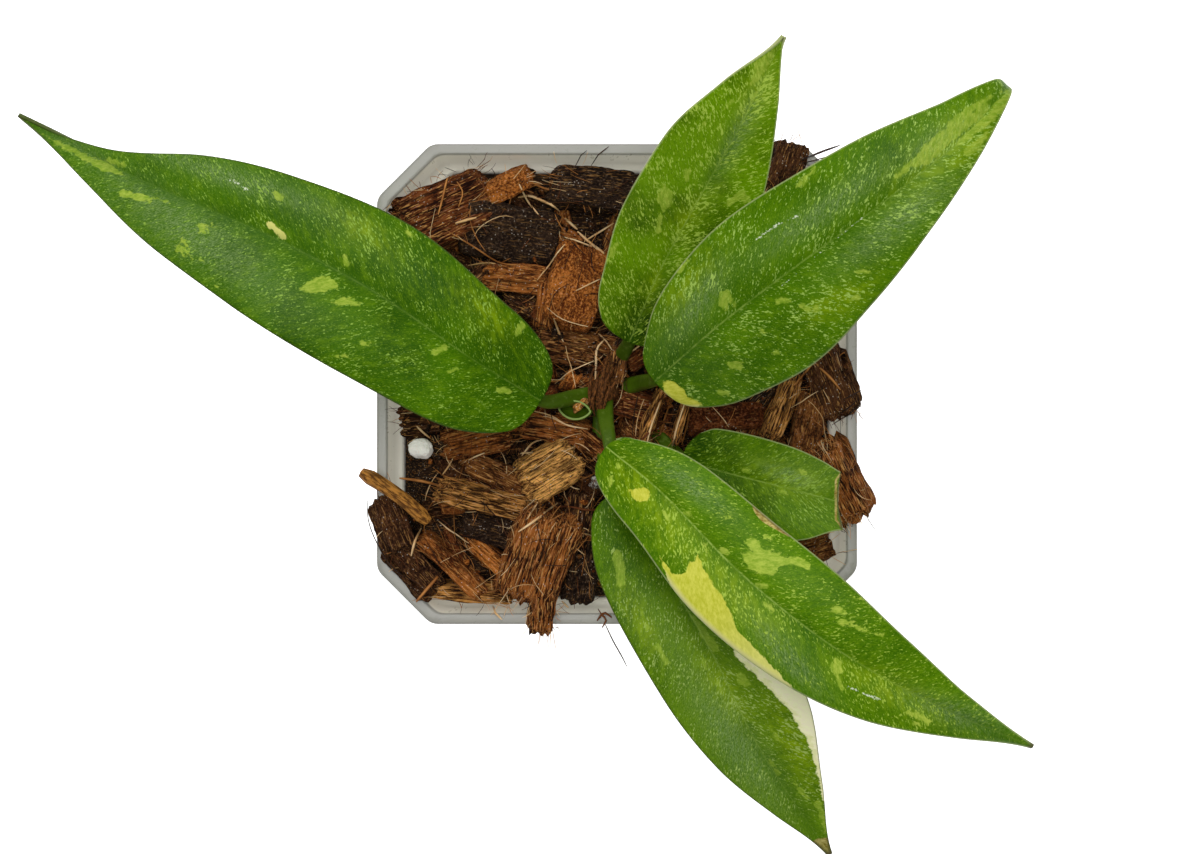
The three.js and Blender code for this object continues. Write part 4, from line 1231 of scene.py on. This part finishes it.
def make_chips(material):
    """The placed chips, in two meshes, and the small ones that fill the spaces between them."""
    trees = []
    for name, chips in (("chips_back", CHIPS[:BACK_CHIPS]), ("chips_front", CHIPS[BACK_CHIPS:])):
        mix = MixMesh()
        for chip in chips:
            mix.add_chip(chip, 5 if chip.length * chip.width > LARGE_CHIP else 4)
        trees.append(mix.finish(name, material))
    fill = MixMesh()
    steps = int(FILLER_SPREAD / FILLER_PITCH)
    # The small chips lean to the darkest tints: partly their own colour, partly painted shade down in the
    # gaps between the chips
    tints = [RUST, BROWN, RED_BROWN, UMBER, SOOT, UMBER, SOOT]
    for i in range(steps):
        for j in range(steps):
            x = (i - (steps - 1) / 2) * FILLER_PITCH + random.uniform(-2, 2)
            y = (j - (steps - 1) / 2) * FILLER_PITCH + random.uniform(-2, 2)
            length = random.uniform(3.5, 8)
            width = random.uniform(1.6, 3.6)
            top = random.uniform(-4.8, -2.6)
            yaw = random.uniform(0, 180)
            pitch = random.uniform(-14, 14)
            roll = random.uniform(-20, 20)
            tint = random.choice(tints)
            grain = random.uniform(0.2, 1.0)
            if max(abs(x), abs(y)) < FILLER_REACH and abs(x) + abs(y) < FILLER_CORNER:
                size = (length, width, FILLER_DEPTH)
                fill.add_chip(Chip(x, y, top, *size, yaw, pitch, roll, tint, grain, 0), 3)
    trees.append(fill.finish("chips_small", material))
    return trees


def husk():
    """Coconut husk: stringy along the fibre attribute's first axis, or corky; darker in its pits and cracks
    and lighter on its raised fibres, partly its own tone and partly painted shade and painted highlights.
    """
    f = Finish("husk", Specular_IOR_Level=0.12)
    tint = f.attribute("tint", "Color")
    grain = f.attribute("tint", "Alpha")
    fibre = f.attribute("fibre")
    strings = f.noise(f.stretch(fibre, (0.09, 1.0, 1.0)), 3.4, 6.0, 0.7)
    corky = f.noise(fibre, 2.8, 6.0, 0.72)
    blend = strings * grain + corky * (1.0 - grain)
    broad = f.noise(fibre, 0.3, 3.0)
    light = f.ease(blend + broad * 0.3 - 0.15, 0.41, 0.58)
    # darker where the relief is low: partly the husk's own dark fibre, partly painted shade in its pits
    pit = f.mix(grain, rgb(118, 94, 78), rgb(56, 40, 30))
    colour = f.mix(light, f.mix(1.0, tint, pit, "MULTIPLY"), tint)
    # lighter where the relief is high: partly pale fibre, partly painted highlight on the raised fibres
    bright = f.mix(1.0, tint, rgb(136, 118, 98), "ADD")
    colour = f.mix(f.ease(blend, 0.54, 0.66) * 0.75, colour, bright)
    # pale golden threads: partly their own colour, partly painted highlight
    threads = f.ease(f.noise(f.stretch(fibre, (0.10, 1.0, 1.0)), 5.2, 3.0, 0.5), 0.57, 0.66)
    colour = f.mix(threads * grain * 0.85, colour, rgb(244, 180, 104))
    # near black in the sunken cracks: painted shade
    cracks = f.ease(f.noise(f.stretch(fibre, (0.03, 0.9, 0.9)), 2.8, 3.0, 0.55), 0.59, 0.63)
    colour = f.mix(cracks * grain * 0.8, colour, rgb(34, 20, 10))
    rare = f.ease(broad, 0.46, 0.58)
    dust = 1.0 - f.ease(f.cells(fibre, 1.7), 0.11, 0.19)
    colour = f.mix(dust * rare * 0.75, colour, rgb(222, 210, 196))
    f.feed(Base_Color=colour, Roughness=0.75 + corky * 0.2)
    f.feed(Normal=f.bump(blend - cracks * grain * 0.4, 0.8, 1.0))
    return f.material


# Loose fibres, crumbs, the grain and the stick

CREAM, STRAW, AUBURN, DARK = range(4)
THREAD_COLOURS = [
    ("cream", rgb(240, 208, 160), rgb(214, 168, 112)),
    ("straw", rgb(196, 132, 70), rgb(148, 92, 44)),
    ("auburn", rgb(112, 62, 28), rgb(80, 42, 20)),
    ("dark", rgb(60, 38, 24), rgb(34, 22, 14)),
]

# Single straws that stand out, as points in pixels, a colour and a radius in millimetres
STRAWS = [
    ([(517, 195), (528, 193), (540, 197), (559, 208)], CREAM, 0.225),
    ([(519, 184), (527, 199), (538, 213)], CREAM, 0.15),
    ([(564, 215), (577, 226)], CREAM, 0.225),
    ([(577, 228), (590, 240), (604, 253)], CREAM, 0.24),
    ([(562, 234), (582, 240), (602, 251)], CREAM, 0.15),
    ([(584, 238), (599, 229), (614, 220)], CREAM, 0.15),
    ([(466, 263), (486, 261), (501, 264)], CREAM, 0.12),
    ([(446, 230), (470, 244), (499, 261), (519, 264)], STRAW, 0.12),
    ([(455, 223), (465, 220), (476, 217)], CREAM, 0.21),
    ([(537, 279), (551, 261), (565, 244)], CREAM, 0.12),
    ([(447, 172), (443, 192), (438, 214)], STRAW, 0.165),
    ([(456, 180), (462, 191), (458, 206)], STRAW, 0.105),
    ([(576, 291), (588, 285), (600, 279)], CREAM, 0.105),
    ([(554, 319), (558, 330), (563, 341)], CREAM, 0.165),
    ([(591, 161), (600, 153), (609, 146)], DARK, 0.09),
    ([(574, 166), (580, 156), (587, 150)], DARK, 0.075),
    ([(528, 180), (541, 184), (554, 190)], STRAW, 0.165),
    ([(396, 479), (418, 482), (440, 487)], STRAW, 0.24),
    ([(411, 556), (414, 544), (418, 530)], CREAM, 0.195),
    ([(416, 602), (427, 589), (440, 574)], STRAW, 0.24),
    ([(436, 523), (454, 536), (468, 544)], CREAM, 0.12),
    ([(491, 609), (496, 614), (502, 620)], CREAM, 0.165),
    ([(519, 531), (538, 518), (557, 504)], CREAM, 0.195),
    ([(528, 518), (533, 510), (538, 502)], CREAM, 0.135),
    ([(542, 516), (552, 510), (566, 507), (592, 511), (612, 505)], AUBURN, 0.15),
    ([(529, 410), (551, 416), (567, 425), (588, 429)], CREAM, 0.135),
    ([(415, 426), (421, 432), (428, 438)], CREAM, 0.165),
    ([(460, 464), (472, 458), (484, 453)], CREAM, 0.12),
    ([(430, 468), (440, 475), (453, 480), (466, 485)], STRAW, 0.12),
    ([(441, 475), (447, 467), (452, 459)], CREAM, 0.135),
    ([(561, 604), (564, 607), (568, 611)], CREAM, 0.15),
    ([(582, 533), (589, 536), (596, 539)], CREAM, 0.105),
    ([(521, 456), (532, 443), (541, 440)], CREAM, 0.15),
    ([(519, 454), (526, 453), (533, 453)], CREAM, 0.12),
    ([(605, 624), (613, 641), (622, 657), (627, 667)], DARK, 0.0975),
    ([(597, 621), (604, 613), (612, 618)], AUBURN, 0.18),
    ([(598, 612), (606, 620), (602, 628)], AUBURN, 0.15),
    ([(367, 500), (368, 520), (376, 542), (393, 568), (424, 587)], DARK, 0.0825),
    ([(645, 455), (650, 430), (660, 402)], CREAM, 0.15),
    ([(605, 338), (597, 348), (596, 366), (595, 386)], CREAM, 0.195),
    ([(596, 330), (606, 340), (612, 350)], CREAM, 0.12),
    ([(554, 383), (572, 370), (594, 360)], CREAM, 0.105),
    ([(578, 386), (590, 389), (600, 392)], CREAM, 0.09),
    ([(624, 356), (634, 350), (644, 342)], CREAM, 0.12),
    ([(655, 458), (662, 430), (670, 405)], STRAW, 0.18),
    ([(672, 452), (676, 430), (684, 405)], CREAM, 0.15),
    ([(683, 445), (688, 425), (690, 408)], STRAW, 0.15),
    ([(641, 440), (655, 428), (668, 420)], AUBURN, 0.195),
    ([(842, 400), (852, 395), (862, 390)], DARK, 0.09),
    ([(838, 414), (848, 408), (857, 400)], DARK, 0.09),
    ([(836, 425), (847, 416), (860, 404)], DARK, 0.09),
    ([(800, 162), (818, 153), (840, 145)], DARK, 0.165),
    ([(797, 166), (812, 161), (828, 156)], DARK, 0.09),
    ([(819, 368), (830, 378), (840, 390)], STRAW, 0.195),
    ([(795, 385), (806, 372), (815, 358)], STRAW, 0.15),
]


STRAW_HEIGHT = 1.0
STRAW_LIFT = 0.15
STRAW_STEP = 0.7
THREAD_COUNT = 300
THREAD_FIELD = 31
THREAD_CORNER = 54
THREAD_REACH = 31.8
THREAD_STEP = 0.9
THREAD_LIFT = 0.1
THREAD_TAPER = 0.55
SKY = 40.0
HAIR_STEPS = 6
HAIR_ROOT = -0.3


def drop_onto(tree, x, y):
    """The highest point of a mesh at a place, or nothing."""
    return tree.ray_cast(Vector((x, y, SKY)), Vector((0, 0, -1)))[0]


class Threads:
    """Thin fibres, gathered as splines and then turned into one mesh."""

    def __init__(self, name, trees, materials):
        self.name = name
        self.trees = trees
        self.curve = bpy.data.curves.new(name, "CURVE")
        self.curve.dimensions = "3D"
        self.curve.bevel_depth = 1.0
        self.curve.bevel_resolution = 0
        self.curve.use_fill_caps = True
        for material in materials:
            self.curve.materials.append(material)

    def ground(self, x, y):
        """The height of the mix, or of the rim, under a fibre."""
        heights = [RIM_CLEARANCE if past_mouth(x, y) else FILL_TOP]
        for tree in self.trees:
            hit = drop_onto(tree, x, y)
            if hit is not None:
                heights.append(hit.z)
        return max(heights)

    def add(self, points, radius, colour):
        """A fibre through points, thinner at its ends."""
        spline = self.curve.splines.new("POLY")
        spline.points.add(len(points) - 1)
        last = len(points) - 1
        for k, point in enumerate(points):
            spline.points[k].co = (*point, 1.0)
            spline.points[k].radius = radius * (1.0 - THREAD_TAPER * abs(2 * k / last - 1) ** 3)
        spline.material_index = colour

    def lay(self, flat, radius, colour, lift=THREAD_LIFT):
        """A fibre over the surface, through its high spots."""
        heights = [self.ground(x, y) + radius + lift for x, y in flat]
        smooth = list(heights)
        for _ in range(4):
            inner = [(a + 2 * b + c) / 4 for a, b, c in zip(smooth, smooth[1:], smooth[2:])]
            smooth = [smooth[0]] + [max(h, s) for h, s in zip(heights[1:-1], inner)] + [smooth[-1]]
        self.add([(x, y, z) for (x, y), z in zip(flat, smooth)], radius, colour)

    def finish(self):
        drawn = bpy.data.objects.new(self.name, self.curve)
        bpy.context.scene.collection.objects.link(drawn)
        bpy.context.view_layer.update()
        mesh = bpy.data.meshes.new_from_object(drawn)
        materials = list(self.curve.materials)
        bm = bmesh.new()
        bm.from_mesh(mesh)
        bpy.data.objects.remove(drawn)
        bpy.data.meshes.remove(mesh)
        piece_of(bm, self.name, materials, "husk_mix", "potting_mix")


def scatter_threads(threads):
    """Coir fibres that lie over the mix at random."""
    for _ in range(THREAD_COUNT):
        x, y = random.uniform(-THREAD_FIELD, THREAD_FIELD), random.uniform(-THREAD_FIELD, THREAD_FIELD)
        heading = random.uniform(0, math.tau)
        bend = random.gauss(0, 0.16)
        length = random.uniform(2.5, 9)
        radius = random.uniform(0.035, 0.08)
        colour = random.choices([CREAM, STRAW, AUBURN, DARK], [3, 4, 4, 5])[0]
        if abs(x) + abs(y) > THREAD_CORNER:
            continue
        steps = max(4, int(length / THREAD_STEP))
        flat = []
        for _ in range(steps + 1):
            flat.append((x, y))
            x += math.cos(heading) * length / steps
            y += math.sin(heading) * length / steps
            heading += bend + random.gauss(0, 0.08)
        if all(max(abs(px), abs(py)) < THREAD_REACH for px, py in flat):
            threads.lay(flat, radius, colour)


def fringe_chip(threads, chip):
    """Hairs that lift from a chip along its fibres and past its ends and edges."""
    place = chip_matrix(chip)
    shade = AUBURN if chip.tint in (RED_BROWN, UMBER, BROWN, SOOT) else STRAW
    for _ in range(chip.hairs):
        x = random.uniform(-0.5, 0.5) * chip.length
        y = random.uniform(-0.5, 0.5) * chip.width
        outward = random.random() < 0.45
        heading = 0.0 if x > 0 else math.pi
        if outward and random.random() < 0.6:
            y = math.copysign(chip.width / 2, y)
            heading = math.copysign(math.pi / 2, y) + random.gauss(0, 0.6)
        elif outward:
            x = math.copysign(chip.length * 0.48, x)
        heading += random.gauss(0, 0.25)
        length = random.uniform(0.8, 2.2) if outward else random.uniform(1.5, 4.0)
        lift = random.uniform(0.05, 0.5)
        bend = random.gauss(0, 0.08)
        radius = random.uniform(0.022, 0.05)
        step = length / HAIR_STEPS
        points = []
        z = HAIR_ROOT
        for k in range(HAIR_STEPS + 1):
            point = place @ Vector((x, y, z))
            if past_mouth(point.x, point.y):
                point.z = max(point.z, RIM_CLEARANCE)
            points.append(point)
            x += math.cos(heading) * step
            y += math.sin(heading) * step
            z += lift * (1.2 - k / HAIR_STEPS) * step * 0.8
            heading += bend
        colour = random.choice([shade, shade, DARK, STRAW, CREAM])
        threads.add(points, radius, colour)


def make_threads(trees, materials):
    """The single straws, the scattered fibres and the hairs of the chips, in one piece."""
    threads = Threads("coir_fibres", trees, materials)
    for pixels, colour, radius in STRAWS:
        route = Route([(*photo_to_mm(px, py, STRAW_HEIGHT), 0) for px, py in pixels])
        count = max(5, int(route.length / STRAW_STEP))
        flat = [tuple(route.at(k / count).xy) for k in range(count + 1)]
        threads.lay(flat, radius, colour, STRAW_LIFT)
    scatter_threads(threads)
    for chip in CHIPS:
        fringe_chip(threads, chip)
    threads.finish()


def thread_finish(name, light, dark):
    f = Finish("thread_" + name, Roughness=0.6, Specular_IOR_Level=0.15)
    place = f.place()
    f.feed(Base_Color=f.mix(f.ease(f.noise(place, 0.35, 2.0), 0.35, 0.65), dark, light))
    return f.material


CRUMB_COUNT = 700
CRUMB_FIELD = 32
CRUMB_CORNER = 52
CRUMB_CEILING = -2.0
CRUMB_SHADES = [ORANGE, RUST, BROWN, UMBER, SOOT, RED_BROWN, SOOT, UMBER]


def make_crumbs(trees, material):
    """Crumbs of husk and grit, in the low places between the chips."""
    mix = MixMesh()
    for _ in range(CRUMB_COUNT):
        x, y = random.uniform(-CRUMB_FIELD, CRUMB_FIELD), random.uniform(-CRUMB_FIELD, CRUMB_FIELD)
        size = random.uniform(0.12, 0.5) ** 1.4 * 1.3
        shade = random.choice(CRUMB_SHADES)
        stretch = random.uniform(1.0, 2.2)
        turn = Matrix.Rotation(random.uniform(0, math.tau), 4, "Z")
        if abs(x) + abs(y) > CRUMB_CORNER:
            continue
        hits = [drop_onto(tree, x, y) for tree in trees]
        top = max([hit.z for hit in hits if hit is not None], default=FILL_TOP)
        if top > CRUMB_CEILING:
            continue
        ball = bmesh.ops.create_icosphere(mix.bm, subdivisions=2, radius=size)["verts"]
        for v in ball:
            v.co *= 1 + 0.35 * noise.noise(v.co * 3.1 + Vector((x, y, 0)))
            v.co.x *= stretch
            v.co = turn @ v.co + Vector((x, y, top + size * 0.4))
            v[mix.fibre] = v.co
            v[mix.tint] = shade[:3] + (0.2,)
    mix.finish("crumbs", material)


GRAIN = {"centre": (-29.0, -9.6, -1.6), "size": (3.8, 2.9, 2.6), "yaw": -12}
PIT_DEPTH = 0.12
PIT_RADIUS = 0.05
STICK = {"start": (-37.6, -12.9, 3.2), "end": (-27.6, -20.4, 1.9), "bow": (0.3, 0.4, 0.15), "radius": 1.05}
STICK_TURN = math.radians(37)


def make_grain(material):
    """A lumpy white grain with a pit in its top."""
    bm = bmesh.new()
    turn = Matrix.Rotation(math.radians(GRAIN["yaw"]), 3, "Z")
    ball = bmesh.ops.create_icosphere(bm, subdivisions=5, radius=0.5)["verts"]
    for v in ball:
        lumps = 1 + 0.16 * noise.noise(v.co * 3.0) + 0.05 * noise.noise(v.co * 14.0)
        from_pit = (v.co.x / PIT_RADIUS) ** 2 + (v.co.y / PIT_RADIUS) ** 2
        pit = PIT_DEPTH * math.exp(-from_pit) if v.co.z > 0 else 0.0
        p = v.co * (lumps - pit)
        v.co = turn @ Vector([c * s for c, s in zip(p, GRAIN["size"])]) + Vector(GRAIN["centre"])
    piece_of(bm, "white_grain", [material], "perlite", "perlite_grain")


def white_grain():
    f = Finish("perlite", Roughness=0.9, Specular_IOR_Level=0.2)
    place = f.place()
    pores = f.cells(place, 2.6)
    colour = f.mix(f.ease(pores, 0.05, 0.3), rgb(255, 236, 224), rgb(255, 252, 244))
    f.feed(Base_Color=colour, Normal=f.bump(pores, 0.3, 0.5))
    return f.material


def make_stick(material):
    """A short bowed stick with ridged bark and worn ends."""
    start, end = Vector(STICK["start"]), Vector(STICK["end"])
    bow = (start + end) / 2 + Vector(STICK["bow"])
    bm = bmesh.new()

    def thickness(u):
        return STICK["radius"] * math.sqrt(min(1, 0.35 + 5 * min(u, 1 - u)))

    def bark(angle, along):
        ridges = 0.10 * noise.noise(Vector((math.cos(angle) * 2.2, math.sin(angle) * 2.2, along * 3.0)))
        return 1 + ridges + 0.05 * math.sin(5 * angle + 3 * along)

    sweep(bm, Route([start, bow, end]), thickness, 40, 90, bark)
    piece_of(bm, "dry_stick", [material], "dry_stick", "loose_stick")


def dry_bark():
    f = Finish("dry_bark", Roughness=0.7, Specular_IOR_Level=0.15)
    place = f.place()
    turned = f.node("Mapping", sockets={"Vector": place, "Rotation": (0.0, 0.0, STICK_TURN)})
    strings = f.noise(f.stretch(turned, (0.2, 1.0, 1.0)), 2.6, 5.0, 0.65)
    broad = f.noise(place, 0.4, 3.0)
    colour = f.mix(f.ease(strings, 0.40, 0.60), rgb(88, 52, 16), rgb(188, 128, 54))
    colour = f.mix(f.ease(broad, 0.5, 0.7) * 0.6, colour, rgb(92, 60, 24))
    f.feed(Base_Color=colour, Normal=f.bump(strings, 0.4, 0.7))
    return f.material


# Stem

STEM_AXIS = [(-2, -1.2, -26), (-2, -1.2, -13), (-1.8, -1.2, -4), (-2, -0.8, 3)]
DRIED_STRANDS = 26
DRIED_SHEATH = [(-2.2, -6.4, 0.8), (-2.8, -3.2, 4.0), (-2.1, 0.8, 4.6), (-1.0, 4.8, 1.8)]


def torn_strand(bm, section):
    """One strand of the dried sheath, thin at both ends."""
    bend = Vector((random.gauss(0, 0.7), random.gauss(0, 0.4), random.uniform(-1.4, 0.2)))
    strand = Route([Vector(point) + bend * random.uniform(0.4, 1.3) for point in DRIED_SHEATH])
    first, last = random.uniform(0.0, 0.45), random.uniform(0.55, 1.0)
    part = [strand.at(first + (last - first) * k / 5) for k in range(6)]
    part[-1] += Vector((random.gauss(0, 0.5), random.gauss(0, 0.3), random.uniform(-0.2, 0.5)))
    width = random.uniform(0.09, 0.34)
    sweep(bm, Route(part), lambda u: width * (0.3 + 0.7 * math.sin(math.pi * u)), 8, 30, section)


def make_stem(bark):
    """The stem and the torn strands of a dried sheath over it."""
    bm = bmesh.new()

    def trunk(u):
        return 1.5 + 1.2 * math.sin(math.pi * (0.12 + 0.78 * u))

    def wrinkled(angle, along):
        return 1 + 0.14 * noise.noise(Vector((math.cos(angle) * 2, math.sin(angle) * 2, along * 2)))

    sweep(bm, Route(STEM_AXIS), trunk, 32, 60, wrinkled)
    for _ in range(DRIED_STRANDS):
        torn_strand(bm, wrinkled)
    piece_of(bm, "rooted_stem", [bark], "stem_bark", "stem")


def stem_bark():
    f = Finish("stem_bark", Roughness=0.75, Specular_IOR_Level=0.12)
    place = f.place()
    strings = f.noise(f.stretch(place, (1.0, 0.4, 1.0)), 4.5, 4.0, 0.6)
    colour = f.mix(f.ease(strings, 0.36, 0.7), rgb(50, 28, 12), rgb(136, 84, 40))
    f.feed(Base_Color=colour, Normal=f.bump(strings, 0.4, 0.8))
    return f.material


make_camera()
lay_floor()
light_up()

under, stalk_green = blade_under(), stalk_finish()
pale_rim = blade_rim("pale_rim", rgb(150, 164, 96), rgb(186, 190, 136))
dark_rim = blade_rim("dark_rim", rgb(62, 76, 30), rgb(96, 108, 52))
for leaf in LEAVES:
    rim = dark_rim if SKINS[leaf.name].edge == DARK_EDGE else pale_rim
    blade = make_blade(leaf, blade_top(leaf.name), under, rim)
    make_stalk(leaf, blade, stalk_green)

make_boat_sheath("leaf_west", stalk_green, blade_rim("sheath_rim", rgb(110, 136, 62), rgb(150, 170, 96)))

make_pot(milky_plastic())
husk_material = husk()
mix_trees = [make_bed(husk_material)] + make_chips(husk_material)
make_threads(mix_trees, [thread_finish(*colours) for colours in THREAD_COLOURS])
make_crumbs(mix_trees, husk_material)
make_grain(white_grain())
make_stick(dry_bark())
make_stem(stem_bark())
